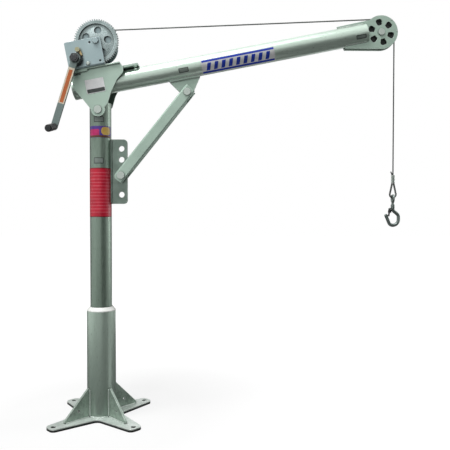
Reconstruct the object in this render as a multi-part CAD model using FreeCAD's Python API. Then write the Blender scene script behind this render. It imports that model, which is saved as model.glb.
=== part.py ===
import FreeCAD
import Part
import math
import os

# Davit crane: floor base with a socket, swivelling mast, luffing boom with a hand winch, sheave and hook.
# Millimetres. Origin on the floor at the mast axis, boom along +X, +Z up, the crank side is -Y.

V = FreeCAD.Vector
UP = V(0, 0, 1)
ACROSS = V(0, 1, 0)

# Fits
RUN_FIT = 0.1
SIDE_GAP = 0.3
BOLT_FIT = 0.5

# Floor base
BASE_T = 10.0
ANCHOR_CIRCLE_D = 382.0
ANCHOR_HOLE_D = 18.0
LEG_ROOT_HALF = 48.0
LEG_TIP_HALF = 24.0
LEG_TIP_BEYOND_HOLE = 18.0
LEG_TIP_ROUND = 18.0
LEG_WAIST_ROUND = 22.0
SLEEVE_D = 101.6
SLEEVE_WALL = 8.0
SLEEVE_TOP_Z = 383.0
BUSH_FLANGE_H = 14.0
BUSH_RIM_H = 2.5
BUSH_LIP = 2.5
BUSH_DEPTH = 60.0
THRUST_T = 6.0
BRACE_T = 8.0
BRACE_H = 100.0
BRACE_REACH = 150.0
BRACE_NOSE_H = 8.0
BRACE_HOLE_D = 9.0
BRACE_HOLE_OUT = 45.0
BRACE_HOLE_UP = 30.0

# Mast
MAST_D = 76.2
MAST_WALL = 5.0
MAST_TOP_Z = 1120.0
FOOT_PLUG_H = 12.0
PIVOT_Z = 1093.0
PIVOT_BOLT_D = 20.0
PIVOT_SLEEVE_WALL = 6.0
PIVOT_HEAD_D = 26.0
PIVOT_HEAD_T = 5.0
PIVOT_NUT_AF = 30.0
PIVOT_NUT_T = 10.0
LUFF_PLATE_T = 10.0
LUFF_PLATE_EDGE_X = 95.6
LUFF_PLATE_LOW_Z = 764.0
LUFF_PLATE_TOP_Z = 994.0
LUFF_PLATE_ROUND = 13.0
LUFF_HOLE_X = 75.0
LUFF_HOLE_Z_IN_USE = 865.0
LUFF_HOLE_Z_FREE = (961.0, 922.0, 797.0)
LUFF_HOLE_D = 20.4
WELD_R = 5.0

# Boom and its head, in the boom's own frame: x along the boom, z square to it, origin at the pivot
BOOM_ANGLE = 11.07
BOOM_D = 70.0
BOOM_WALL = 5.0
BOOM_AXIS_Z = 92.5
BOOM_TAIL_X = -78.0
BOOM_END_X = 977.0
BOOM_SIDE_AHEAD = 8.0
CHEEK_T = 6.0
CHEEK_GAP = 0.9
CHEEK_END_R = 24.0
CHEEK_BACK_X = 70.0
CHEEK_FRONT_X = 116.0
CHEEK_TOP_BACK_CUT = 20.0
CHEEK_TOP_FRONT_CUT = 9.0
CHEEK_SLOT_INSET = 24.0
CHEEK_SLOT_DROP = 11.0
CHEEK_SLOT_L = 24.0
CHEEK_SLOT_H = 8.0
CHEEK_HEEL = (-44.0, 44.0)
CHEEK_TAIL_Z = 88.0
CHEEK_BROW = ((86.0, 90.0), (57.0, 53.0), (38.0, 16.0))
CHEEK_TOP_BACK_DROP = 13.0
CHEEK_NOSE_DROP = 15.0
CHEEK_CHIN_DROP = 31.0
CHEEK_CHIN_SET = 4.0
CHEEK_TAIL_SET = 3.0
SADDLE_X0 = -52.0
SADDLE_X1 = 62.0
SADDLE_HALF_H = 24.0
TOP_PLATE_T = 7.0
TOP_PLATE_BACK_X = 58.0
TOP_PLATE_AHEAD = 51.0
TOP_PLATE_HOLE_D = 11.0
TOP_PLATE_HOLE_INSET = 13.0
TOP_PLATE_HOLE_Y = 20.0

# Strut lug under the boom
LUG_T = 12.0
LUG_HALF_L = 54.5
LUG_PIN_X = 317.6
LUG_DROP = 51.0
LUG_TOP_INSET = 6.0
LUG_END_R = 22.0
LUG_BOSS_D = 30.0
LUG_PAD_T = 4.0
LUG_PAD_HALF_W = 14.0
STRUT_PIN_D = 16.0
STRUT_PIN_HEAD_D = 25.0
STRUT_PIN_HEAD_T = 5.0

# Strut channel
STRUT_W = 46.0
STRUT_T = 4.0
STRUT_DEPTH = 40.0
STRUT_BEND_R = 6.0
STRUT_LIP = 9.0
STRUT_LOW_END = 21.0
STRUT_HIGH_END = 19.0
STRUT_WEB_LOW_CUT = 41.0
STRUT_WEB_HIGH_CUT = 30.0
STRUT_CORNER_CUT = 10.0
LOCK_PIN_D = 19.0
LOCK_PIN_HEAD_D = 26.0
LOCK_PIN_HEAD_T = 5.0
LOCK_PIN_TAIL = 7.0
CLIP_T = 3.0
CLIP_RING = 5.0

# Winch, in the boom's frame
SEAT_T = 4.0
SEAT_HALF_W = 52.0
SEAT_LIP_L = 60.0
SEAT_LIP_DROP = 6.0
SEAT_LIP_T = 4.0
FRAME_T = 4.0
FRAME_BEHIND_SHAFT = 32.5
FRAME_AHEAD_OF_AXLE = 16.5
FRAME_ABOVE_AXLE = 13.0
FRAME_GEAR_GAP = 4.0
FRAME_DRUM_GAP = 6.0
FRAME_SIGHT_HOLE_D = 8.0
FRAME_SIGHT_HOLES = ((-22.0, -1.0), (2.6, -69.4))
FRAME_CORNER_R = 6.0
FRAME_BEND_IN_R = 2.0
FRAME_BOLT_D = 10.0
FRAME_BOLT_INSET = 18.0
FRAME_BOLT_HALF_Y = 25.0
FRAME_BOLT_HEAD_T = 6.4
FRAME_BOLT_AF = 17.0
FRAME_NUT_T = 8.0
NUT_ROOM = 0.5
DRUM_X = 41.5
AXLE_D = 12.0
AXLE_HEAD_AF = 18.0
AXLE_HEAD_T = 7.0
DRUM_BARREL_D = 60.0
DRUM_FLANGE_T = 3.0
DRUM_FLANGE_D = 120.0
DRUM_HUB_D = 30.0
BUSH_WALL = 3.0
CABLE_D = 4.8
LAYER_R = 53.0
LAYER_LOOPS = 6
LAYER_PITCH = 5.4
LAYER_SIDE_GAP = 2.2
GEAR_MODULE = 2.5
GEAR_TEETH = 60
PINION_TEETH = 15
PRESSURE_ANGLE = 20.0
BACKLASH = 0.5
GEAR_W = 10.0
GEAR_DRUM_GAP = 2.0
GEAR_FLOOR_GAP = 1.5
GEAR_RIM_IN_D = 124.0
GEAR_WEB_T = 3.0
GEAR_DOME_DROP = 0.5
GEAR_DOME_R = 224.0
GEAR_HOLE_D = 26.0
GEAR_HOLE_CIRCLE_D = 80.0
GEAR_HOLES = 5
PINION_OVERHANG = 1.0
PINION_DROP = 53.5
SHAFT_D = 18.0
RATCHET_D = 44.0
RATCHET_ROOT_D = 37.0
RATCHET_TEETH = 12
RATCHET_T = 8.0
RATCHET_STEEP = 0.1
FRICTION_T = 3.0
FRICTION_D = 38.0
BRAKE_HUB_D = 40.0
ARM_W = 23.0
ARM_T = 8.0
ARM_HUB_D = 36.0
ARM_LENGTH = 244.0
ARM_LEAN = 17.3
CRANK_NUT_AF = 27.0
CRANK_NUT_T = 12.0
SHAFT_TAIL_OUT = 1.0
SHAFT_NOSE = 2.0
COLLAR_T = 6.7
GRIP_D = 25.0
GRIP_L = 62.0
GRIP_ROUND = 3.0
GRIP_DROOP = 13.0
GRIP_PIN_D = 10.0
GRIP_PIN_HEAD_D = 16.0
GRIP_PIN_HEAD_T = 3.0
PAWL_PIN_D = 8.0
PAWL_X = 12.0
PAWL_Z = 31.0
PAWL_NOSE_HALF = 2.0
PAWL_T = 9.0
PAWL_HUB_D = 16.0
PAWL_CLEAR = 0.4
PAWL_SPRING_WIRE = 1.2
PAWL_SPRING_LOOPS = 2.5
PAWL_SPRING_PITCH = 1.9
PAWL_SPRING_END = 60.0
PAWL_PIN_HEAD_T = 2.0
ARM_PAWL_GAP = 1.0

# Sheave end of the boom, in the boom's frame
SHEAVE_END_GAP = 4.0
SHEAVE_BELOW_AXIS = 8.0
SHEAVE_ROPE_R = 50.0
SHEAVE_LIP = 3.0
SHEAVE_W = 18.0
SHEAVE_HUB_D = 34.0
SHEAVE_WEB_W = 10.0
SHEAVE_RIM_T = 6.3
SIDE_PLATE_RIM = 6.0
SIDE_PLATE_T = 6.0
SIDE_PLATE_TAIL_L = 95.0
SIDE_PLATE_LOW_TAIL_L = 78.0
SIDE_PLATE_PROUD = 4.0
SIDE_PLATE_LOW = 6.0
SIDE_PLATE_TOP_TOUCH = 123.0
SIDE_PLATE_LOW_TOUCH = -97.0
WINDOW_COUNT = 6
WINDOW_FIRST = 32.0
WINDOW_IN_R = 24.0
WINDOW_OUT_R = 46.5
WINDOW_HALF_ANGLE = 17.0
WINDOW_IN_ROUND = 5.0
WINDOW_OUT_ROUND = 8.0
SHEAVE_AXLE_D = 16.0
SHEAVE_HEAD_D = 22.0
SHEAVE_HEAD_T = 5.0
KEEPER_D = 5.0
KEEPER_GAP = 0.5
AXLE_TAIL = 3.0
KEEPER_ANGLES = (-5.0, 40.0)

# Hanging line and hook, upright at rest
LINE_END_Z = 868.0
FERRULE_H = 27.0
FERRULE_W = 13.0
FERRULE_T = 8.0
FERRULE_FLAT = 0.3
EYE_ROPE_R = 11.85
EYE_LENGTH = 42.0
THIMBLE_T = 1.2
THIMBLE_W = 4.4
EYE_LEG_GAP = 0.6
THIMBLE_BELOW = 2.0
HOOK_EYE_HOLE_R = 8.0
HOOK_R = 6.0
HOOK_EYE_BAR_R = 4.0
HOOK_SEAT_GAP = 0.8
HOOK_BOWL_R = 21.0
HOOK_SHANK_L = 62.5
HOOK_TIP_X = -24.0
HOOK_TIP_Z = 14.0
HOOK_NECK_H = 8.0
HOOK_NECK_R = 4.6
HOOK_COLLAR_H = 18.0
HOOK_COLLAR_R = 7.0
HOOK_COLLAR_ROUND = 2.0
HOOK_BEND_R = 14.0
HOOK_BEND_UP = 32.86
HOOK_BACK_UP = 15.75
HOOK_HEEL_R = 20.6
HOOK_TOE_R = 14.5
HOOK_TOE_X = -9.5
LATCH_T = 2.0
LATCH_PIVOT_UP = 37.0
LATCH_PIVOT_OUT = 9.0
LATCH_BOSS_R = 5.0
LATCH_EAR_T = 1.4
LATCH_START = 9.0
LATCH_RIVET_D = 4.0
LATCH_EAR_R = 4.0
LATCH_RIVET_HEAD = 1.0
LATCH_BELOW_TIP = 3.0

# Places worked out from the sizes above
MAST_R = MAST_D / 2
SLEEVE_R = SLEEVE_D / 2
SLEEVE_IN_R = SLEEVE_R - SLEEVE_WALL
MAST_FOOT_Z = BASE_T + THRUST_T
CHEEK_IN_Y = MAST_R + CHEEK_GAP
CHEEK_OUT_Y = CHEEK_IN_Y + CHEEK_T
BOOM_R = BOOM_D / 2
BOOM_TOP_Z = BOOM_AXIS_Z + BOOM_R
BOOM_LOW_Z = BOOM_AXIS_Z - BOOM_R
CABLE_R = CABLE_D / 2
CHEEK_TOP_Z = BOOM_TOP_Z + TOP_PLATE_T + FRAME_NUT_T + NUT_ROOM
SEAT_LOW_Z = CHEEK_TOP_Z
FRAME_LOW_Z = SEAT_LOW_Z + SEAT_T
GEAR_TIP_R = GEAR_MODULE * (GEAR_TEETH + 2) / 2
DRUM_Z = FRAME_LOW_Z + FRAME_T + GEAR_FLOOR_GAP + GEAR_TIP_R
DRUM_HALF_W = LAYER_LOOPS * LAYER_PITCH + CABLE_R + LAYER_SIDE_GAP
GEAR_BACK_Y = -DRUM_HALF_W - DRUM_FLANGE_T - GEAR_DRUM_GAP
GEAR_FRONT_Y = GEAR_BACK_Y - GEAR_W
FRAME_FRONT_IN_Y = GEAR_FRONT_Y - FRAME_GEAR_GAP
FRAME_FRONT_Y = FRAME_FRONT_IN_Y - FRAME_T
FRAME_REAR_IN_Y = DRUM_HALF_W + DRUM_FLANGE_T + FRAME_DRUM_GAP
FRAME_REAR_Y = FRAME_REAR_IN_Y + FRAME_T
FRAME_TOP_Z = DRUM_Z + FRAME_ABOVE_AXLE
CENTRE_DISTANCE = GEAR_MODULE * (GEAR_TEETH + PINION_TEETH) / 2
PINION_Z = DRUM_Z - PINION_DROP
PINION_X = DRUM_X - math.sqrt(CENTRE_DISTANCE ** 2 - PINION_DROP ** 2)
FRAME_X0 = PINION_X - FRAME_BEHIND_SHAFT
FRAME_X1 = DRUM_X + FRAME_AHEAD_OF_AXLE
RATCHET_REAR_Y = FRAME_FRONT_Y - FRICTION_T
RATCHET_FRONT_Y = RATCHET_REAR_Y - RATCHET_T
SHEAVE_FLANGE_R = SHEAVE_ROPE_R + SHEAVE_LIP
SIDE_PLATE_R = SHEAVE_FLANGE_R + SIDE_PLATE_RIM
SHEAVE_X = BOOM_END_X + SHEAVE_FLANGE_R + SHEAVE_END_GAP
SHEAVE_Z = BOOM_AXIS_Z - SHEAVE_BELOW_AXIS
SIDE_PLATE_TAIL_X = BOOM_END_X - SIDE_PLATE_TAIL_L
SIDE_PLATE_LOW_TAIL_X = BOOM_END_X - SIDE_PLATE_LOW_TAIL_L
KEEPER_R = SHEAVE_FLANGE_R + KEEPER_GAP + KEEPER_D / 2
LUG_PIN_Z = BOOM_LOW_Z - LUG_DROP
PAWL_SPRING_R = PAWL_PIN_D / 2 + SIDE_GAP + PAWL_SPRING_WIRE / 2
PAWL_FRONT_Y = FRAME_FRONT_Y - SIDE_GAP - PAWL_T
PAWL_SPRING_FRONT_Y = PAWL_FRONT_Y - SIDE_GAP - PAWL_SPRING_WIRE / 2 - PAWL_SPRING_LOOPS * PAWL_SPRING_PITCH
PAWL_PIN_HEAD_Y = PAWL_SPRING_FRONT_Y - PAWL_SPRING_WIRE / 2 - SIDE_GAP
PAWL_PIN_FRONT_Y = PAWL_PIN_HEAD_Y - PAWL_PIN_HEAD_T
BRAKE_FRONT_Y = min(PAWL_PIN_FRONT_Y - ARM_PAWL_GAP, RATCHET_FRONT_Y - ARM_PAWL_GAP)
ARM_FRONT_Y = BRAKE_FRONT_Y - ARM_T
CRANK_NUT_FRONT_Y = ARM_FRONT_Y - CRANK_NUT_T
PLATE_IN_Y = SHEAVE_W / 2 + SIDE_GAP
PLATE_OUT_Y = PLATE_IN_Y + SIDE_PLATE_T
STRUT_IN_Y = STRUT_W / 2 - STRUT_T
CHEEK_OUTLINE = (CHEEK_HEEL, (-CHEEK_BACK_X, CHEEK_TAIL_Z),
                 (-CHEEK_BACK_X + CHEEK_TAIL_SET, CHEEK_TOP_Z - CHEEK_TOP_BACK_DROP),
                 (-CHEEK_BACK_X + CHEEK_TOP_BACK_CUT, CHEEK_TOP_Z),
                 (CHEEK_FRONT_X - CHEEK_TOP_FRONT_CUT, CHEEK_TOP_Z),
                 (CHEEK_FRONT_X, CHEEK_TOP_Z - CHEEK_NOSE_DROP),
                 (CHEEK_FRONT_X - CHEEK_CHIN_SET, CHEEK_TOP_Z - CHEEK_CHIN_DROP)) + CHEEK_BROW

os.makedirs("parts", exist_ok=True)
names = []
nuts = []


def save(name, *solids):
    shape = solids[0] if len(solids) == 1 else Part.makeCompound(list(solids))
    if shape.ShapeType == "Compound" and len(shape.Solids) == 1:
        shape = shape.Solids[0]
    if not shape.isValid():
        print("not valid:", name)
    shape.exportStep(os.path.join("parts", name + ".step"))
    names.append(name)
    return shape


def on_boom(shape):
    placed = shape.copy()
    placed.rotate(V(0, 0, 0), ACROSS, -BOOM_ANGLE)
    placed.translate(V(0, 0, PIVOT_Z))
    return placed


def boom_point(x, z):
    angle = math.radians(BOOM_ANGLE)
    ahead = V(math.cos(angle), 0, math.sin(angle))
    square = V(-math.sin(angle), 0, math.cos(angle))
    return V(0, 0, PIVOT_Z) + ahead * x + square * z


def box(x0, x1, y0, y1, z0, z1):
    return Part.makeBox(x1 - x0, y1 - y0, z1 - z0, V(x0, y0, z0))


def rod_y(x, z, y0, y1, radius):
    return Part.makeCylinder(radius, y1 - y0, V(x, y0, z), ACROSS)


def ring_y(x, z, y0, y1, out_radius, in_radius):
    return rod_y(x, z, y0, y1, out_radius).cut(rod_y(x, z, y0 - 1, y1 + 1, in_radius))


def rod_x(x0, x1, z, radius):
    return Part.makeCylinder(radius, x1 - x0, V(x0, 0, z), V(1, 0, 0))


def ring_z(z0, z1, out_radius, in_radius):
    outer = Part.makeCylinder(out_radius, z1 - z0, V(0, 0, z0))
    return outer.cut(Part.makeCylinder(in_radius, z1 - z0 + 2, V(0, 0, z0 - 1)))


def plate_y(points, y0, y1):
    outline = [V(x, y0, z) for x, z in points]
    face = Part.Face(Part.makePolygon(outline + outline[:1]))
    return face.extrude(V(0, y1 - y0, 0))


def hex_y(x, z, y0, y1, across_flats):
    radius = across_flats / math.sqrt(3)
    corners = [(x + radius * math.cos(math.radians(60 * i)), z + radius * math.sin(math.radians(60 * i)))
               for i in range(6)]
    return plate_y(corners, y0, y1)


def nut_y(x, z, y0, height, across_flats, hole_d):
    return hex_y(x, z, y0, y0 + height, across_flats).cut(rod_y(x, z, y0 - 1, y0 + height + 1, hole_d / 2))


def hex_z(x, y, z0, z1, across_flats):
    radius = across_flats / math.sqrt(3)
    corners = [V(x + radius * math.cos(math.radians(60 * i)), y + radius * math.sin(math.radians(60 * i)), z0)
               for i in range(6)]
    return Part.Face(Part.makePolygon(corners + corners[:1])).extrude(V(0, 0, z1 - z0))


def edges_along(shape, direction, keep):
    chosen = []
    for edge in shape.Edges:
        if edge.Curve.TypeId != "Part::GeomLine":
            continue
        if abs(abs(edge.tangentAt(edge.FirstParameter).dot(direction)) - 1) > 1e-6:
            continue
        if keep(edge.CenterOfMass):
            chosen.append(edge)
    return chosen


def rounded_path(points, radii):
    edges = []
    start = points[0]
    for i in range(1, len(points) - 1):
        corner = points[i]
        back = (points[i - 1] - corner).normalize()
        ahead = (points[i + 1] - corner).normalize()
        half = math.acos(max(-1.0, min(1.0, back.dot(ahead)))) / 2
        reach = radii[i - 1] / math.tan(half)
        middle = (back + ahead).normalize() * (radii[i - 1] / math.sin(half) - radii[i - 1])
        arc_start = corner + back * reach
        arc_end = corner + ahead * reach
        if (arc_start - start).Length > 1e-6:
            edges.append(Part.LineSegment(start, arc_start).toShape())
        edges.append(Part.Arc(arc_start, corner + middle, arc_end).toShape())
        start = arc_end
    if (points[-1] - start).Length > 1e-6:
        edges.append(Part.LineSegment(start, points[-1]).toShape())
    return Part.Wire(edges)


def tube_along(wire, radius):
    first = wire.OrderedEdges[0]
    at = first.valueAt(first.FirstParameter)
    heading = first.tangentAt(first.FirstParameter)
    profile = Part.Wire([Part.Circle(at, heading, radius).toShape()])
    solid = wire.makePipeShell([profile], True, False)
    return solid.Solids[0] if solid.Solids else solid


def biarc(p0, t0, p1, t1):
    chord = p1 - p0
    both = t0 + t1
    a = both.dot(both) - 4
    b = -2 * chord.dot(both)
    c = chord.dot(chord)
    reach = (-b - math.sqrt(b * b - 4 * a * c)) / (2 * a)
    if reach <= 0:
        reach = (-b + math.sqrt(b * b - 4 * a * c)) / (2 * a)
    knee_a = p0 + t0 * reach
    knee_b = p1 - t1 * reach
    joint = (knee_a + knee_b) * 0.5
    arcs = []
    for start, knee, end in ((p0, knee_a, joint), (joint, knee_b, p1)):
        middle = (start + end) * 0.5
        half_chord = (end - start).Length / 2
        rise = (knee - middle).Length
        radius = reach * half_chord / rise
        sagitta = radius - math.sqrt(radius * radius - half_chord * half_chord)
        arcs.append(Part.Arc(start, middle + (knee - middle) * (sagitta / rise), end).toShape())
    return arcs


def winding_y(x, z, y_start, radius, pitch, loops, end_angle, tail):
    # A helix about the Y axis through (x, z) that ends at end_angle and runs out straight by tail.
    climb = pitch / (2 * math.pi)
    length = math.hypot(radius, climb)
    quarters = int(round(loops * 4))
    first = end_angle + math.radians(90) * quarters
    edges = []
    points = []

    def at(step):
        angle = first - math.radians(90) * step
        place = V(x + radius * math.cos(angle), y_start + pitch * step / 4, z + radius * math.sin(angle))
        heading = V(radius * math.sin(angle), climb, -radius * math.cos(angle)) * (1 / length)
        return place, heading

    start, heading = at(0)
    edges.append(Part.LineSegment(start - heading * tail, start).toShape())
    for step in range(quarters):
        p0, t0 = at(step)
        p1, t1 = at(step + 1)
        edges.extend(biarc(p0, t0, p1, t1))
    end, heading = at(quarters)
    edges.append(Part.LineSegment(end, end + heading * tail).toShape())
    for step in range(quarters * 6 + 1):
        points.append(at(step / 6)[0])
    return Part.Wire(edges), points


def least_self_gap(points, skip, diameter):
    count = len(points)
    least = min((points[i] - points[j]).Length for i in range(count) for j in range(i + skip, count))
    return least - diameter


def check_tube(name, solid, wire, radius):
    ideal = math.pi * radius * radius * wire.Length
    print(name, "volume against section times length:", round(solid.Volume / ideal, 4))


def gear_outline(teeth, module, phase, thinning):
    # Involute teeth about the origin in the XZ plane, the first tooth centred at the angle phase.
    pitch_r = teeth * module / 2
    base_r = pitch_r * math.cos(math.radians(PRESSURE_ANGLE))
    tip_r = pitch_r + module
    root_r = pitch_r - 1.25 * module
    flank_r = max(base_r, root_r)
    involute = math.tan(math.radians(PRESSURE_ANGLE)) - math.radians(PRESSURE_ANGLE)
    half_tooth = math.pi / (2 * teeth) - thinning / (2 * pitch_r)
    steps = 4
    points = []
    for tooth in range(teeth):
        centre = phase + 2 * math.pi * tooth / teeth
        flank = []
        for i in range(steps + 1):
            radius = flank_r + (tip_r - flank_r) * i / steps
            pressure = math.acos(min(1.0, base_r / radius))
            half = half_tooth + involute - (math.tan(pressure) - pressure)
            flank.append((radius, half))
        foot = flank[0][1]
        points.append((root_r, centre - foot))
        points.extend((radius, centre - half) for radius, half in flank)
        points.extend((radius, centre + half) for radius, half in reversed(flank))
        points.append((root_r, centre + foot))
    outline = []
    for radius, angle in points:
        place = (radius * math.cos(angle), radius * math.sin(angle))
        if not outline or math.dist(place, outline[-1]) > 1e-6:
            outline.append(place)
    return outline


def spur_gear(x, z, y0, y1, teeth, module, phase):
    outline = [(x + px, z + pz) for px, pz in gear_outline(teeth, module, phase, BACKLASH / 2)]
    return plate_y(outline, y0, y1)


def build_base():
    hole_r = ANCHOR_CIRCLE_D / 2
    tip_r = hole_r + LEG_TIP_BEYOND_HOLE
    leg_points = [V(0, -LEG_ROOT_HALF, 0), V(LEG_ROOT_HALF, -LEG_ROOT_HALF, 0), V(tip_r, -LEG_TIP_HALF, 0),
                  V(tip_r, LEG_TIP_HALF, 0), V(LEG_ROOT_HALF, LEG_ROOT_HALF, 0), V(0, LEG_ROOT_HALF, 0)]
    leg = Part.Face(Part.makePolygon(leg_points + leg_points[:1])).extrude(UP * BASE_T)
    plate = None
    for i in range(4):
        turned = leg.copy()
        turned.rotate(V(0, 0, 0), UP, 45 + 90 * i)
        plate = turned if plate is None else plate.fuse(turned)
    plate = plate.removeSplitter()
    waist = edges_along(plate, UP, lambda c: math.hypot(c.x, c.y) < LEG_ROOT_HALF * 2)
    plate = plate.makeFillet(LEG_WAIST_ROUND, waist)
    tips = edges_along(plate, UP, lambda c: math.hypot(c.x, c.y) > hole_r)
    plate = plate.makeFillet(LEG_TIP_ROUND, tips)
    for i in range(4):
        angle = math.radians(45 + 90 * i)
        spot = V(hole_r * math.cos(angle), hole_r * math.sin(angle), -1)
        plate = plate.cut(Part.makeCylinder(ANCHOR_HOLE_D / 2, BASE_T + 2, spot))
    save("base_plate", plate)
    save("base_sleeve", ring_z(BASE_T, SLEEVE_TOP_Z, SLEEVE_R, SLEEVE_IN_R))
    brace_points = [(SLEEVE_R - 1, BASE_T), (BRACE_REACH, BASE_T), (BRACE_REACH, BASE_T + BRACE_NOSE_H),
                    (SLEEVE_R + BRACE_NOSE_H, BASE_T + BRACE_H), (SLEEVE_R - 1, BASE_T + BRACE_H)]
    brace = plate_y(brace_points, -BRACE_T / 2, BRACE_T / 2)
    hole = rod_y(SLEEVE_R + BRACE_HOLE_OUT, BASE_T + BRACE_HOLE_UP, -BRACE_T, BRACE_T, BRACE_HOLE_D / 2)
    brace = brace.cut(hole)
    brace = brace.cut(Part.makeCylinder(SLEEVE_R, SLEEVE_TOP_Z))
    braces = []
    for i in range(4):
        turned = brace.copy()
        turned.rotate(V(0, 0, 0), UP, 45 + 90 * i)
        braces.append(turned)
    save("base_braces", *braces)
    bush_in_r = MAST_R + RUN_FIT
    top_bush = ring_z(SLEEVE_TOP_Z - BUSH_DEPTH, SLEEVE_TOP_Z, SLEEVE_IN_R, bush_in_r)
    rim_z = SLEEVE_TOP_Z + BUSH_RIM_H
    flange = Part.makeCone(SLEEVE_R, bush_in_r + BUSH_LIP, BUSH_FLANGE_H - BUSH_RIM_H, V(0, 0, rim_z))
    flange = flange.fuse(Part.makeCylinder(SLEEVE_R, BUSH_RIM_H, V(0, 0, SLEEVE_TOP_Z)))
    flange = flange.cut(Part.makeCylinder(bush_in_r, BUSH_FLANGE_H, V(0, 0, SLEEVE_TOP_Z)))
    save("socket_top_bush", top_bush.fuse(flange).removeSplitter())
    save("socket_foot_bush", ring_z(MAST_FOOT_Z, MAST_FOOT_Z + BUSH_DEPTH, SLEEVE_IN_R, bush_in_r))
    save("socket_thrust_washer", Part.makeCylinder(SLEEVE_IN_R, THRUST_T, V(0, 0, BASE_T)))


def build_mast():
    sleeve_r = PIVOT_BOLT_D / 2 + RUN_FIT + PIVOT_SLEEVE_WALL
    tube = ring_z(MAST_FOOT_Z, MAST_TOP_Z, MAST_R, MAST_R - MAST_WALL)
    tube = tube.cut(rod_y(0, PIVOT_Z, -MAST_D, MAST_D, sleeve_r))
    save("mast_tube", tube)
    sleeve_half = CHEEK_IN_Y - SIDE_GAP
    sleeve_in_r = PIVOT_BOLT_D / 2 + RUN_FIT
    save("mast_pivot_sleeve", ring_y(0, PIVOT_Z, -sleeve_half, sleeve_half, sleeve_r, sleeve_in_r))
    save("mast_foot_plug", Part.makeCylinder(MAST_R - MAST_WALL, FOOT_PLUG_H, V(0, 0, MAST_FOOT_Z)))
    half_t = LUFF_PLATE_T / 2
    plate = box(0, LUFF_PLATE_EDGE_X, -half_t, half_t, LUFF_PLATE_LOW_Z, LUFF_PLATE_TOP_Z)
    corners = edges_along(plate, ACROSS, lambda c: c.x > MAST_R)
    plate = plate.makeFillet(LUFF_PLATE_ROUND, corners)
    mast_core = Part.makeCylinder(MAST_R, MAST_TOP_Z)
    plate = plate.cut(mast_core)
    for z in (LUFF_HOLE_Z_IN_USE,) + LUFF_HOLE_Z_FREE:
        plate = plate.cut(rod_y(LUFF_HOLE_X, z, -LUFF_PLATE_T, LUFF_PLATE_T, LUFF_HOLE_D / 2))
    for side in (-1, 1):
        foot = V(MAST_R, side * half_t, LUFF_PLATE_LOW_Z + WELD_R)
        bead = Part.makeCylinder(WELD_R, LUFF_PLATE_TOP_Z - LUFF_PLATE_LOW_Z - 2 * WELD_R, foot)
        plate = plate.fuse(bead.cut(mast_core))
    save("luff_plate", plate.removeSplitter())


def build_head():
    pivot_arc = [(CHEEK_END_R * math.cos(math.radians(a)), CHEEK_END_R * math.sin(math.radians(a)))
                 for a in (10, -190)]
    outline = [V(x, CHEEK_IN_Y, z) for x, z in (pivot_arc[1],) + CHEEK_OUTLINE + (pivot_arc[0],)]
    edges = [Part.LineSegment(a, b).toShape() for a, b in zip(outline[:-1], outline[1:])]
    edges.append(Part.Arc(outline[-1], V(0, CHEEK_IN_Y, -CHEEK_END_R), outline[0]).toShape())
    cheek = Part.Face(Part.Wire(edges)).extrude(V(0, CHEEK_T, 0))
    cheek = cheek.cut(rod_y(0, 0, CHEEK_IN_Y - 1, CHEEK_OUT_Y + 1, PIVOT_BOLT_D / 2))
    slot_half = (CHEEK_SLOT_L - CHEEK_SLOT_H) / 2
    slot_x = -CHEEK_BACK_X + CHEEK_SLOT_INSET
    slot_z = CHEEK_TOP_Z - CHEEK_SLOT_DROP
    slot = box(slot_x - slot_half, slot_x + slot_half, CHEEK_IN_Y - 1, CHEEK_OUT_Y + 1,
               slot_z - CHEEK_SLOT_H / 2, slot_z + CHEEK_SLOT_H / 2)
    for end in (-slot_half, slot_half):
        slot = slot.fuse(rod_y(slot_x + end, slot_z, CHEEK_IN_Y - 1, CHEEK_OUT_Y + 1, CHEEK_SLOT_H / 2))
    cheek = cheek.cut(slot)
    save("head_plate_rear", on_boom(cheek))
    save("head_plate_front", on_boom(cheek.mirror(V(0, 0, 0), ACROSS)))
    boom_core = rod_x(BOOM_TAIL_X, BOOM_END_X, BOOM_AXIS_Z, BOOM_R)
    saddle_z0 = BOOM_AXIS_Z - SADDLE_HALF_H
    saddle_z1 = BOOM_AXIS_Z + SADDLE_HALF_H
    saddle = box(SADDLE_X0, SADDLE_X1, 0, CHEEK_IN_Y, saddle_z0, saddle_z1)
    saddle = saddle.cut(boom_core)
    saddle = max(saddle.Solids, key=lambda s: s.Volume)
    save("boom_saddles", on_boom(saddle), on_boom(saddle.mirror(V(0, 0, 0), ACROSS)))
    top_x1 = CHEEK_FRONT_X + TOP_PLATE_AHEAD
    top = box(-TOP_PLATE_BACK_X, top_x1, -CHEEK_IN_Y, CHEEK_IN_Y, BOOM_TOP_Z, BOOM_TOP_Z + TOP_PLATE_T)
    for side in (-1, 1):
        spot = V(top_x1 - TOP_PLATE_HOLE_INSET, side * TOP_PLATE_HOLE_Y, BOOM_TOP_Z - 1)
        top = top.cut(Part.makeCylinder(TOP_PLATE_HOLE_D / 2, TOP_PLATE_T + 2, spot))
    save("head_top_plate", on_boom(top))
    head_y = -CHEEK_OUT_Y - PIVOT_HEAD_T
    bolt = rod_y(0, 0, -CHEEK_OUT_Y, CHEEK_OUT_Y + PIVOT_NUT_T + AXLE_TAIL, PIVOT_BOLT_D / 2)
    bolt = bolt.fuse(rod_y(0, 0, head_y, -CHEEK_OUT_Y, PIVOT_HEAD_D / 2)).removeSplitter()
    save("pivot_bolt", on_boom(bolt))
    nuts.append(nut_y(0, 0, CHEEK_OUT_Y, PIVOT_NUT_T, PIVOT_NUT_AF, PIVOT_BOLT_D))


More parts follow.
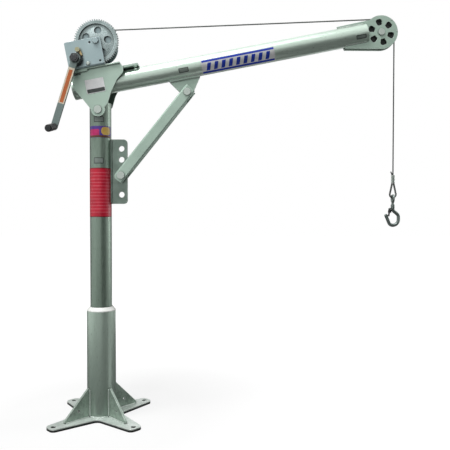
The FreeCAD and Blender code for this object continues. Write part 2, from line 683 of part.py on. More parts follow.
def side_plate(y0, y1):
    top_z = BOOM_TOP_Z + SIDE_PLATE_PROUD
    low_z = BOOM_LOW_Z - SIDE_PLATE_LOW
    touch_top = math.radians(SIDE_PLATE_TOP_TOUCH)
    touch_low = math.radians(SIDE_PLATE_LOW_TOUCH)
    points = [(SIDE_PLATE_LOW_TAIL_X, low_z), (SIDE_PLATE_TAIL_X, top_z),
              (SHEAVE_X + SIDE_PLATE_R * math.cos(touch_top), SHEAVE_Z + SIDE_PLATE_R * math.sin(touch_top)),
              (SHEAVE_X, SHEAVE_Z),
              (SHEAVE_X + SIDE_PLATE_R * math.cos(touch_low), SHEAVE_Z + SIDE_PLATE_R * math.sin(touch_low))]
    plate = plate_y(points, y0, y1).fuse(rod_y(SHEAVE_X, SHEAVE_Z, y0, y1, SIDE_PLATE_R)).removeSplitter()
    for i in range(WINDOW_COUNT):
        angle = WINDOW_FIRST + 360 / WINDOW_COUNT * i
        window = Part.makeCylinder(WINDOW_OUT_R, y1 - y0 + 2, V(0, 0, -1), UP, 2 * WINDOW_HALF_ANGLE)
        window = window.cut(Part.makeCylinder(WINDOW_IN_R, y1 - y0 + 4, V(0, 0, -2)))
        middle_r = (WINDOW_IN_R + WINDOW_OUT_R) / 2
        outer = edges_along(window, UP, lambda c: math.hypot(c.x, c.y) > middle_r)
        window = window.makeFillet(WINDOW_OUT_ROUND, outer)
        inner = edges_along(window, UP, lambda c: math.hypot(c.x, c.y) < WINDOW_IN_R + RUN_FIT)
        window = window.makeFillet(WINDOW_IN_ROUND, inner)
        window.rotate(V(0, 0, 0), UP, angle - WINDOW_HALF_ANGLE)
        window.rotate(V(0, 0, 0), V(1, 0, 0), 90)
        window.translate(V(SHEAVE_X, y1, SHEAVE_Z))
        plate = plate.cut(window)
    plate = plate.cut(rod_y(SHEAVE_X, SHEAVE_Z, y0 - 1, y1 + 1, SHEAVE_AXLE_D / 2))
    for angle in KEEPER_ANGLES:
        plate = plate.cut(rod_y(*keeper_spot(angle), y0 - 1, y1 + 1, KEEPER_D / 2))
    return plate


def keeper_spot(angle):
    turn = math.radians(angle)
    return SHEAVE_X + KEEPER_R * math.cos(turn), SHEAVE_Z + KEEPER_R * math.sin(turn)


def build_boom():
    sides_x = BOOM_END_X + BOOM_SIDE_AHEAD
    tube = rod_x(BOOM_TAIL_X, sides_x, BOOM_AXIS_Z, BOOM_R)
    tube = tube.cut(rod_x(BOOM_TAIL_X - 1, sides_x + 1, BOOM_AXIS_Z, BOOM_R - BOOM_WALL))
    tube = tube.cut(box(BOOM_END_X, sides_x + 1, -PLATE_OUT_Y, PLATE_OUT_Y, BOOM_LOW_Z - 1, BOOM_TOP_Z + 1))
    rear = side_plate(PLATE_IN_Y, PLATE_OUT_Y)
    front = rear.mirror(V(0, 0, 0), ACROSS)
    save("boom_tube", on_boom(tube.cut(rear).cut(front)))
    save("sheave_plate_rear", on_boom(rear))
    save("sheave_plate_front", on_boom(front))
    head_y = -PLATE_OUT_Y - SHEAVE_HEAD_T
    axle = rod_y(SHEAVE_X, SHEAVE_Z, -PLATE_OUT_Y, PLATE_OUT_Y + SHEAVE_HEAD_T + AXLE_TAIL, SHEAVE_AXLE_D / 2)
    axle = axle.fuse(rod_y(SHEAVE_X, SHEAVE_Z, head_y, -PLATE_OUT_Y, SHEAVE_HEAD_D / 2)).removeSplitter()
    save("sheave_axle", on_boom(axle))
    nuts.append(nut_y(SHEAVE_X, SHEAVE_Z, PLATE_OUT_Y, SHEAVE_HEAD_T, SHEAVE_HEAD_D, SHEAVE_AXLE_D))
    keepers = [rod_y(*keeper_spot(angle), -PLATE_OUT_Y - 1, PLATE_OUT_Y + 1, KEEPER_D / 2)
               for angle in KEEPER_ANGLES]
    save("cable_keepers", *[on_boom(rod) for rod in keepers])
    boom_core = rod_x(BOOM_TAIL_X, BOOM_END_X, BOOM_AXIS_Z, BOOM_R)
    lug_x0 = LUG_PIN_X - LUG_HALF_L
    lug_x1 = LUG_PIN_X + LUG_HALF_L
    lug_points = [(lug_x0, BOOM_LOW_Z - LUG_PAD_T), (lug_x0 + LUG_TOP_INSET, BOOM_AXIS_Z),
                  (lug_x1 - LUG_TOP_INSET, BOOM_AXIS_Z), (lug_x1, BOOM_LOW_Z - LUG_PAD_T),
                  (LUG_PIN_X + LUG_END_R, LUG_PIN_Z), (LUG_PIN_X - LUG_END_R, LUG_PIN_Z)]
    lug = plate_y(lug_points, -LUG_T / 2, LUG_T / 2)
    lug = lug.fuse(rod_y(LUG_PIN_X, LUG_PIN_Z, -LUG_T / 2, LUG_T / 2, LUG_END_R))
    boss_half = STRUT_IN_Y - SIDE_GAP
    lug = lug.fuse(rod_y(LUG_PIN_X, LUG_PIN_Z, -boss_half, boss_half, LUG_BOSS_D / 2))
    pad = box(lug_x0, lug_x1, -LUG_PAD_HALF_W, LUG_PAD_HALF_W, BOOM_LOW_Z - LUG_PAD_T, BOOM_AXIS_Z)
    lug = lug.fuse(pad).cut(boom_core).removeSplitter()
    lug = lug.cut(rod_y(LUG_PIN_X, LUG_PIN_Z, -STRUT_W, STRUT_W, STRUT_PIN_D / 2 + RUN_FIT))
    lug = max(lug.Solids, key=lambda s: s.Volume)
    save("strut_lug", on_boom(lug))


def build_strut():
    high = boom_point(LUG_PIN_X, LUG_PIN_Z)
    low = V(LUFF_HOLE_X, 0, LUFF_HOLE_Z_IN_USE)
    length = (high - low).Length
    lean = math.degrees(math.atan2(high.z - low.z, high.x - low.x))

    def placed(shape):
        turned = shape.copy()
        turned.rotate(V(0, 0, 0), ACROSS, -lean)
        turned.translate(low)
        return turned

    half_depth = STRUT_DEPTH / 2
    half_w = STRUT_W / 2
    x0 = -STRUT_LOW_END
    x1 = length + STRUT_HIGH_END
    along = V(1, 0, 0)
    channel = box(x0, x1, -half_w, half_w, -half_depth, half_depth)
    channel = channel.makeFillet(STRUT_BEND_R, edges_along(channel, along, lambda c: True))
    inside = box(x0 - 1, x1 + 1, -STRUT_IN_Y, STRUT_IN_Y, STRUT_T - half_depth, half_depth - STRUT_T)
    inside = inside.makeFillet(STRUT_BEND_R - STRUT_T, edges_along(inside, along, lambda c: True))
    mouth = half_w - STRUT_LIP
    channel = channel.cut(inside).cut(box(x0 - 1, x1 + 1, -mouth, mouth, 0, half_depth + 1))
    for end_x0, end_x1 in ((x0 - 1, STRUT_WEB_LOW_CUT), (length - STRUT_WEB_HIGH_CUT, x1 + 1)):
        channel = channel.cut(box(end_x0, end_x1, -STRUT_IN_Y, STRUT_IN_Y, -half_depth - 1, 0))
    corner = [(x0 - 1, half_depth + 1), (x0 + STRUT_CORNER_CUT + 1, half_depth + 1),
              (x0 - 1, half_depth - STRUT_CORNER_CUT - 1)]
    channel = channel.cut(plate_y(corner, -STRUT_W, STRUT_W))
    channel = channel.cut(rod_y(0, 0, -STRUT_W, STRUT_W, LOCK_PIN_D / 2 + RUN_FIT))
    channel = channel.cut(rod_y(length, 0, -STRUT_W, STRUT_W, STRUT_PIN_D / 2))
    save("strut_channel", placed(channel))
    tail_y = half_w + CLIP_T + AXLE_TAIL
    pin = rod_y(length, 0, -half_w, tail_y, STRUT_PIN_D / 2)
    head = rod_y(length, 0, -half_w - STRUT_PIN_HEAD_T, -half_w, STRUT_PIN_HEAD_D / 2)
    save("strut_upper_pin", placed(pin.fuse(head).removeSplitter()))
    clip = ring_y(length, 0, half_w, half_w + CLIP_T, STRUT_PIN_D / 2 + CLIP_RING, STRUT_PIN_D / 2)
    save("strut_upper_clip", placed(clip))
    plate_half = LUFF_PLATE_T / 2 + SIDE_GAP
    head_y = -half_w - SIDE_GAP
    front = rod_y(0, 0, head_y, -plate_half, LOCK_PIN_D / 2)
    front = front.fuse(rod_y(0, 0, head_y - LOCK_PIN_HEAD_T, head_y, LOCK_PIN_HEAD_D / 2)).removeSplitter()
    rear = rod_y(0, 0, plate_half, half_w + LOCK_PIN_TAIL, LOCK_PIN_D / 2)
    save("strut_lock_pin", placed(front), placed(rear))


def build_winch_frame():
    seat_x1 = CHEEK_FRONT_X - CHEEK_TOP_FRONT_CUT
    seat = box(FRAME_X0, seat_x1, -SEAT_HALF_W, SEAT_HALF_W, SEAT_LOW_Z, FRAME_LOW_Z)
    seat = seat.fuse(box(FRAME_X0, FRAME_X0 + SEAT_LIP_L, -SEAT_HALF_W, -SEAT_HALF_W + SEAT_LIP_T,
                         SEAT_LOW_Z - SEAT_LIP_DROP, FRAME_LOW_Z)).removeSplitter()
    frame = box(FRAME_X0, FRAME_X1, FRAME_FRONT_Y, FRAME_REAR_Y, FRAME_LOW_Z, FRAME_TOP_Z)
    corners = edges_along(frame, ACROSS, lambda c: c.z > FRAME_TOP_Z - 1)
    frame = frame.makeFillet(FRAME_CORNER_R, corners)
    folds = edges_along(frame, V(1, 0, 0), lambda c: c.z < FRAME_LOW_Z + 1)
    frame = frame.makeFillet(FRAME_BEND_IN_R + FRAME_T, folds)
    floor_z = FRAME_LOW_Z + FRAME_T
    inside = box(FRAME_X0 - 1, FRAME_X1 + 1, FRAME_FRONT_IN_Y, FRAME_REAR_IN_Y, floor_z, FRAME_TOP_Z + 1)
    bends = edges_along(inside, V(1, 0, 0), lambda c: c.z < FRAME_TOP_Z)
    frame = frame.cut(inside.makeFillet(FRAME_BEND_IN_R, bends))
    span = (FRAME_FRONT_Y - 1, FRAME_REAR_Y + 1)
    frame = frame.cut(rod_y(DRUM_X, DRUM_Z, *span, AXLE_D / 2))
    frame = frame.cut(rod_y(PINION_X, PINION_Z, *span, SHAFT_D / 2 + RUN_FIT))
    for x, z in FRAME_SIGHT_HOLES:
        frame = frame.cut(rod_y(DRUM_X + x, DRUM_Z + z, FRAME_FRONT_Y - 1, 0, FRAME_SIGHT_HOLE_D / 2))
    frame = frame.cut(rod_y(*pawl_spot(), FRAME_FRONT_Y - 1, FRAME_FRONT_IN_Y + 1, PAWL_PIN_D / 2))
    bolts = []
    for x in (FRAME_X0 + FRAME_BOLT_INSET, FRAME_X1 - FRAME_BOLT_INSET):
        for y in (-FRAME_BOLT_HALF_Y, FRAME_BOLT_HALF_Y):
            hole_r = FRAME_BOLT_D / 2 + BOLT_FIT
            hole = Part.makeCylinder(hole_r, SEAT_T + FRAME_T + 2, V(x, y, SEAT_LOW_Z - 1))
            seat = seat.cut(hole)
            frame = frame.cut(hole)
            foot = V(x, y, SEAT_LOW_Z - FRAME_NUT_T)
            shank = Part.makeCylinder(FRAME_BOLT_D / 2, floor_z - foot.z, foot)
            head = hex_z(x, y, floor_z, floor_z + FRAME_BOLT_HEAD_T, FRAME_BOLT_AF)
            bolts.append(on_boom(shank.fuse(head).removeSplitter()))
            nut = hex_z(x, y, SEAT_LOW_Z - FRAME_NUT_T, SEAT_LOW_Z, FRAME_BOLT_AF)
            nuts.append(nut.cut(shank))
    save("winch_seat", on_boom(seat))
    save("winch_frame", on_boom(frame))
    save("winch_bolts", *bolts)
    axle = rod_y(DRUM_X, DRUM_Z, FRAME_FRONT_Y, FRAME_REAR_Y + AXLE_HEAD_T + AXLE_TAIL, AXLE_D / 2)
    head = hex_y(DRUM_X, DRUM_Z, FRAME_FRONT_Y - AXLE_HEAD_T, FRAME_FRONT_Y, AXLE_HEAD_AF)
    save("drum_axle", on_boom(axle.fuse(head).removeSplitter()))
    nuts.append(nut_y(DRUM_X, DRUM_Z, FRAME_REAR_Y, AXLE_HEAD_T, AXLE_HEAD_AF, AXLE_D))
    pin = rod_y(*pawl_spot(), PAWL_PIN_FRONT_Y, FRAME_FRONT_IN_Y, PAWL_PIN_D / 2)
    head = rod_y(*pawl_spot(), PAWL_PIN_FRONT_Y, PAWL_PIN_HEAD_Y, PAWL_HUB_D / 2)
    save("pawl_pin", on_boom(pin.fuse(head).removeSplitter()))


def pawl_spot():
    return PINION_X + PAWL_X, PINION_Z + PAWL_Z


def build_drum():
    hub_front = FRAME_FRONT_IN_Y + SIDE_GAP
    hub_rear = FRAME_REAR_IN_Y - SIDE_GAP
    bush_r = AXLE_D / 2 + RUN_FIT + BUSH_WALL
    flange_out = DRUM_HALF_W + DRUM_FLANGE_T
    drum = rod_y(DRUM_X, DRUM_Z, -DRUM_HALF_W, DRUM_HALF_W, DRUM_BARREL_D / 2)
    for y0 in (-flange_out, DRUM_HALF_W):
        drum = drum.fuse(rod_y(DRUM_X, DRUM_Z, y0, y0 + DRUM_FLANGE_T, DRUM_FLANGE_D / 2))
    drum = drum.fuse(rod_y(DRUM_X, DRUM_Z, GEAR_BACK_Y, hub_rear, DRUM_HUB_D / 2))
    drum = drum.cut(rod_y(DRUM_X, DRUM_Z, FRAME_FRONT_Y, FRAME_REAR_Y, bush_r)).removeSplitter()
    save("winch_drum", on_boom(drum))
    save("drum_bush", on_boom(ring_y(DRUM_X, DRUM_Z, hub_front, hub_rear, bush_r, AXLE_D / 2 + RUN_FIT)))
    to_pinion = math.atan2(PINION_Z - DRUM_Z, PINION_X - DRUM_X)
    gear = spur_gear(DRUM_X, DRUM_Z, GEAR_FRONT_Y, GEAR_BACK_Y, GEAR_TEETH, GEAR_MODULE, to_pinion)
    rim_r = GEAR_RIM_IN_D / 2
    hollow = rod_y(DRUM_X, DRUM_Z, GEAR_FRONT_Y - 1, GEAR_BACK_Y - GEAR_WEB_T, rim_r)
    dome_centre = V(DRUM_X, GEAR_FRONT_Y + GEAR_DOME_DROP + GEAR_DOME_R, DRUM_Z)
    gear = gear.cut(hollow.cut(Part.makeSphere(GEAR_DOME_R, dome_centre)))
    gear = gear.fuse(rod_y(DRUM_X, DRUM_Z, hub_front, GEAR_BACK_Y, DRUM_HUB_D / 2))
    for i in range(GEAR_HOLES):
        turn = 2 * math.pi * i / GEAR_HOLES
        x = DRUM_X + GEAR_HOLE_CIRCLE_D / 2 * math.cos(turn)
        z = DRUM_Z + GEAR_HOLE_CIRCLE_D / 2 * math.sin(turn)
        gear = gear.cut(rod_y(x, z, GEAR_FRONT_Y, GEAR_BACK_Y + 1, GEAR_HOLE_D / 2))
    gear = gear.cut(rod_y(DRUM_X, DRUM_Z, FRAME_FRONT_Y, GEAR_BACK_Y + 1, bush_r))
    gap_disc = ring_y(DRUM_X, DRUM_Z, GEAR_BACK_Y, -flange_out, DRUM_BARREL_D / 2, bush_r)
    save("drum_gear", on_boom(gear.fuse(gap_disc.cut(drum)).removeSplitter()))
    core_r = LAYER_R - CABLE_R - RUN_FIT
    core = ring_y(DRUM_X, DRUM_Z, -DRUM_HALF_W, DRUM_HALF_W, core_r, DRUM_BARREL_D / 2)
    save("cable_lower_layers", on_boom(core))
    leave = math.radians(90 + cable_rise() - BOOM_ANGLE)
    start_y = -LAYER_LOOPS * LAYER_PITCH
    wire, points = winding_y(DRUM_X, DRUM_Z, start_y, LAYER_R, LAYER_PITCH, LAYER_LOOPS, leave, CABLE_D)
    winding = tube_along(wire, CABLE_R)
    check_tube("cable_outer_layer", winding, wire, CABLE_R)
    print("cable_outer_layer least gap to itself:", round(least_self_gap(points, 12, CABLE_D), 3))
    save("cable_outer_layer", on_boom(winding))


def cable_rise():
    # The angle in degrees at which the taut cable climbs from the drum to the sheave, in the world frame.
    drum = boom_point(DRUM_X, DRUM_Z)
    sheave = boom_point(SHEAVE_X, SHEAVE_Z)
    span = sheave - drum
    return math.degrees(math.atan2(span.z, span.x) + math.asin((SHEAVE_ROPE_R - LAYER_R) / span.Length))


def build_crank():
    shaft_front = CRANK_NUT_FRONT_Y - SHAFT_NOSE
    collar_y = FRAME_REAR_Y + SIDE_GAP
    shaft = rod_y(PINION_X, PINION_Z, shaft_front, collar_y + COLLAR_T + SHAFT_TAIL_OUT, SHAFT_D / 2)
    to_drum = math.atan2(DRUM_Z - PINION_Z, DRUM_X - PINION_X)
    front = GEAR_FRONT_Y - PINION_OVERHANG
    back = GEAR_BACK_Y + PINION_OVERHANG
    gap_turn = to_drum + math.pi / PINION_TEETH
    pinion = spur_gear(PINION_X, PINION_Z, front, back, PINION_TEETH, GEAR_MODULE, gap_turn)
    save("drive_pinion", on_boom(pinion.cut(rod_y(PINION_X, PINION_Z, front - 1, back + 1, SHAFT_D / 2))))
    collar = ring_y(PINION_X, PINION_Z, collar_y, collar_y + COLLAR_T, SHAFT_D / 2 + CLIP_RING, SHAFT_D / 2)
    save("shaft_collar", on_boom(collar))
    save("drive_shaft", on_boom(shaft))
    friction_y = FRAME_FRONT_Y - SIDE_GAP
    friction = ring_y(PINION_X, PINION_Z, RATCHET_REAR_Y, friction_y, FRICTION_D / 2, SHAFT_D / 2)
    save("friction_disc", on_boom(friction))
    points = []
    step = 2 * math.pi / RATCHET_TEETH
    for i in range(RATCHET_TEETH):
        for radius, turn in ((RATCHET_D / 2, i * step), (RATCHET_ROOT_D / 2, (i + RATCHET_STEEP) * step)):
            points.append((PINION_X + radius * math.cos(turn), PINION_Z + radius * math.sin(turn)))
    ratchet = plate_y(points, RATCHET_FRONT_Y, RATCHET_REAR_Y)
    ratchet = ratchet.cut(rod_y(PINION_X, PINION_Z, RATCHET_FRONT_Y - 1, 0, SHAFT_D / 2))
    save("ratchet_wheel", on_boom(ratchet))
    hub = ring_y(PINION_X, PINION_Z, BRAKE_FRONT_Y, RATCHET_FRONT_Y, BRAKE_HUB_D / 2, SHAFT_D / 2)
    save("brake_hub", on_boom(hub))
    axis = boom_point(PINION_X, PINION_Z)
    lean = math.radians(ARM_LEAN)
    end = V(axis.x - ARM_LENGTH * math.sin(lean), 0, axis.z - ARM_LENGTH * math.cos(lean))
    side = V(math.cos(lean), 0, -math.sin(lean)) * (ARM_W / 2)
    corners = [axis + side, end + side, end - side, axis - side]
    arm = plate_y([(p.x, p.z) for p in corners], ARM_FRONT_Y, BRAKE_FRONT_Y)
    arm = arm.fuse(rod_y(axis.x, axis.z, ARM_FRONT_Y, BRAKE_FRONT_Y, ARM_HUB_D / 2))
    arm = arm.fuse(rod_y(end.x, end.z, ARM_FRONT_Y, BRAKE_FRONT_Y, ARM_W / 2)).removeSplitter()
    arm = arm.cut(rod_y(axis.x, axis.z, ARM_FRONT_Y - 1, 0, SHAFT_D / 2))
    bore = rod_y(end.x, end.z, ARM_FRONT_Y - ARM_T, ARM_FRONT_Y + 2 * ARM_T, GRIP_PIN_D / 2)
    save("crank_arm", arm.cut(drooped(bore, end)))
    nut = hex_y(axis.x, axis.z, CRANK_NUT_FRONT_Y, ARM_FRONT_Y, CRANK_NUT_AF)
    save("crank_nut", nut.cut(rod_y(axis.x, axis.z, CRANK_NUT_FRONT_Y - 1, 0, SHAFT_D / 2)))
    grip_rear = ARM_FRONT_Y - SIDE_GAP - GRIP_D / 2 * math.sin(math.radians(GRIP_DROOP))
    grip_front = grip_rear - GRIP_L
    pin_front = grip_front - SIDE_GAP - GRIP_PIN_HEAD_T
    pin = rod_y(end.x, end.z, pin_front, BRAKE_FRONT_Y, GRIP_PIN_D / 2)
    head = rod_y(end.x, end.z, pin_front, pin_front + GRIP_PIN_HEAD_T, GRIP_PIN_HEAD_D / 2)
    save("grip_pin", drooped(pin.fuse(head).removeSplitter(), end))
    grip = ring_y(end.x, end.z, grip_front, grip_rear, GRIP_D / 2, GRIP_PIN_D / 2 + RUN_FIT)
    rims = [e for e in grip.Edges
            if e.Curve.TypeId == "Part::GeomCircle" and abs(e.Curve.Radius - GRIP_D / 2) < 0.01]
    save("crank_grip", drooped(grip.makeFillet(GRIP_ROUND, rims), end))
    print("grip axis passes", round(end.x, 3), round(ARM_FRONT_Y, 3), round(end.z, 3), "droop", GRIP_DROOP)


def drooped(shape, end):
    # The grip leans away from the crank's axis, about the middle of the arm's front face.
    turned = shape.copy()
    turned.rotate(V(end.x, ARM_FRONT_Y, end.z), V(1, 0, 0), GRIP_DROOP)
    return turned


def build_pawl():
    # The nose lies along a tangent just outside the ratchet's teeth, on the side that holds the load.
    x, z = pawl_spot()
    ring_r = RATCHET_D / 2 + PAWL_CLEAR + PAWL_NOSE_HALF
    distance = math.hypot(PAWL_X, PAWL_Z)
    touch = math.atan2(PAWL_Z, PAWL_X) - math.acos(ring_r / distance)
    rear = FRAME_FRONT_Y - SIDE_GAP
    out = V(math.cos(touch), 0, math.sin(touch))
    centre = V(x, 0, z)
    nose = V(PINION_X, 0, PINION_Z) + out * ring_r
    corners = [centre + out * (PAWL_HUB_D / 2), centre - out * PAWL_NOSE_HALF,
               nose - out * PAWL_NOSE_HALF, nose + out * PAWL_NOSE_HALF]
    pawl = plate_y([(p.x, p.z) for p in corners], PAWL_FRONT_Y, rear)
    pawl = pawl.fuse(rod_y(x, z, PAWL_FRONT_Y, rear, PAWL_HUB_D / 2)).removeSplitter()
    pawl = pawl.cut(rod_y(x, z, PAWL_FRONT_Y - 1, rear + 1, PAWL_PIN_D / 2 + RUN_FIT))
    save("ratchet_pawl", on_boom(pawl))
    wire, points = winding_y(x, z, PAWL_SPRING_FRONT_Y, PAWL_SPRING_R, PAWL_SPRING_PITCH, PAWL_SPRING_LOOPS,
                             math.radians(PAWL_SPRING_END), PAWL_SPRING_WIRE)
    spring = tube_along(wire, PAWL_SPRING_WIRE / 2)
    check_tube("pawl_spring", spring, wire, PAWL_SPRING_WIRE / 2)
    print("pawl_spring least gap to itself:", round(least_self_gap(points, 12, PAWL_SPRING_WIRE), 3))
    save("pawl_spring", on_boom(spring))


def build_sheave():
    half = SHEAVE_W / 2
    hub_r = SHEAVE_AXLE_D / 2 + RUN_FIT + BUSH_WALL
    wheel = rod_y(SHEAVE_X, SHEAVE_Z, -half, half, SHEAVE_FLANGE_R)
    recess_out = SHEAVE_ROPE_R - CABLE_R - RUN_FIT - SHEAVE_RIM_T
    for y0, y1 in ((-half - 1, -SHEAVE_WEB_W / 2), (SHEAVE_WEB_W / 2, half + 1)):
        wheel = wheel.cut(ring_y(SHEAVE_X, SHEAVE_Z, y0, y1, recess_out, SHEAVE_HUB_D / 2))
    groove = Part.makeTorus(SHEAVE_ROPE_R, CABLE_R + RUN_FIT, V(SHEAVE_X, 0, SHEAVE_Z), ACROSS)
    groove_half = CABLE_R + RUN_FIT
    mouth = ring_y(SHEAVE_X, SHEAVE_Z, -groove_half, groove_half, SHEAVE_FLANGE_R + 1, SHEAVE_ROPE_R)
    wheel = wheel.cut(groove).cut(mouth)
    wheel = wheel.cut(rod_y(SHEAVE_X, SHEAVE_Z, -half - 1, half + 1, hub_r))
    save("sheave_wheel", on_boom(max(wheel.Solids, key=lambda s: s.Volume)))
    save("sheave_bush", on_boom(ring_y(SHEAVE_X, SHEAVE_Z, -half, half, hub_r, SHEAVE_AXLE_D / 2 + RUN_FIT)))


def build_cable():
    rise = math.radians(cable_rise())
    drum = boom_point(DRUM_X, DRUM_Z)
    sheave = boom_point(SHEAVE_X, SHEAVE_Z)
    out = V(-math.sin(rise), 0, math.cos(rise))
    ahead = V(math.cos(rise), 0, math.sin(rise))
    start = drum + out * LAYER_R + ahead * (CABLE_D + SIDE_GAP)
    end = sheave + out * SHEAVE_ROPE_R
    run = Part.makeCylinder(CABLE_R, (end - start).Length, start, end - start)
    save("cable_boom_run", run)
    middle_turn = (math.pi / 2 + rise) / 2
    middle = sheave + V(math.cos(middle_turn), 0, math.sin(middle_turn)) * SHEAVE_ROPE_R
    side = sheave + V(SHEAVE_ROPE_R, 0, 0)
    wrap = Part.Wire([Part.Arc(end, middle, side).toShape()])
    wrap_tube = tube_along(wrap, CABLE_R)
    check_tube("cable_sheave_wrap", wrap_tube, wrap, CABLE_R)
    save("cable_sheave_wrap", wrap_tube)
    hang = Part.makeCylinder(CABLE_R, sheave.z - LINE_END_Z, V(side.x, 0, LINE_END_Z))
    save("cable_hanging_run", hang)
    print("cable lengths: boom run", round((end - start).Length, 1), "wrap", round(wrap.Length, 1),
          "hanging run", round(sheave.z - LINE_END_Z, 1), "sheave arc radius", SHEAVE_ROPE_R)
    return side.x


def build_line_end(x):
    low_z = LINE_END_Z - FERRULE_H
    half_w = FERRULE_W / 2
    half_t = FERRULE_T / 2
    ferrule = box(x - half_w, x + half_w, -half_t, half_t, low_z, LINE_END_Z)
    ferrule = ferrule.makeFillet(half_t - FERRULE_FLAT, edges_along(ferrule, UP, lambda c: True))
    save("cable_ferrule", ferrule)
    bowl_z = low_z - EYE_LENGTH
    spread = CABLE_R + EYE_LEG_GAP / 2
    chord = math.hypot(EYE_LENGTH, spread)
    lean = math.asin(EYE_ROPE_R / chord) - math.atan2(spread, EYE_LENGTH)
    touch = V(EYE_ROPE_R * math.cos(lean), 0, EYE_ROPE_R * math.sin(lean))
    centre = V(x, 0, bowl_z)
    right_top = V(x + spread, 0, low_z)
    left_top = V(x - spread, 0, low_z)
    right = centre + touch
    left = centre + V(-touch.x, 0, touch.z)
    loop = Part.Wire([Part.LineSegment(right_top, right).toShape(),
                      Part.Arc(right, centre + V(0, 0, -EYE_ROPE_R), left).toShape(),
                      Part.LineSegment(left, left_top).toShape()])
    eye = tube_along(loop, CABLE_R)
    eye = eye.cut(box(x - FERRULE_W, x + FERRULE_W, -FERRULE_W, FERRULE_W, low_z, LINE_END_Z))
    check_tube("cable_eye", eye, loop, CABLE_R)
    save("cable_eye", eye)
    out_r = EYE_ROPE_R - CABLE_R - RUN_FIT
    in_r = out_r - THIMBLE_T
    apex = bowl_z + out_r / math.sin(lean)
    apex_in = bowl_z + in_r / math.sin(lean)
    wedge = [(x - out_r * math.cos(lean), bowl_z + out_r * math.sin(lean)), (x, apex),
             (x + out_r * math.cos(lean), bowl_z + out_r * math.sin(lean))]
    wedge_in = [(x - in_r * math.cos(lean), bowl_z + in_r * math.sin(lean)), (x, apex_in),
                (x + in_r * math.cos(lean), bowl_z + in_r * math.sin(lean))]
    shell = rod_y(x, bowl_z, -THIMBLE_W / 2, THIMBLE_W / 2, out_r)
    shell = shell.fuse(plate_y(wedge + [(x, bowl_z)], -THIMBLE_W / 2, THIMBLE_W / 2))
    hollow = rod_y(x, bowl_z, -THIMBLE_W, THIMBLE_W, in_r)
    hollow = hollow.fuse(plate_y(wedge_in + [(x, bowl_z)], -THIMBLE_W, THIMBLE_W))
    thimble = shell.cut(hollow).removeSplitter()
    throat = (apex - bowl_z) * 2
    cut_z = low_z - THIMBLE_BELOW
    thimble = thimble.cut(box(x - out_r, x + out_r, -THIMBLE_W, THIMBLE_W, cut_z, bowl_z + throat))
    save("cable_thimble", max(thimble.Solids, key=lambda s: s.Volume))


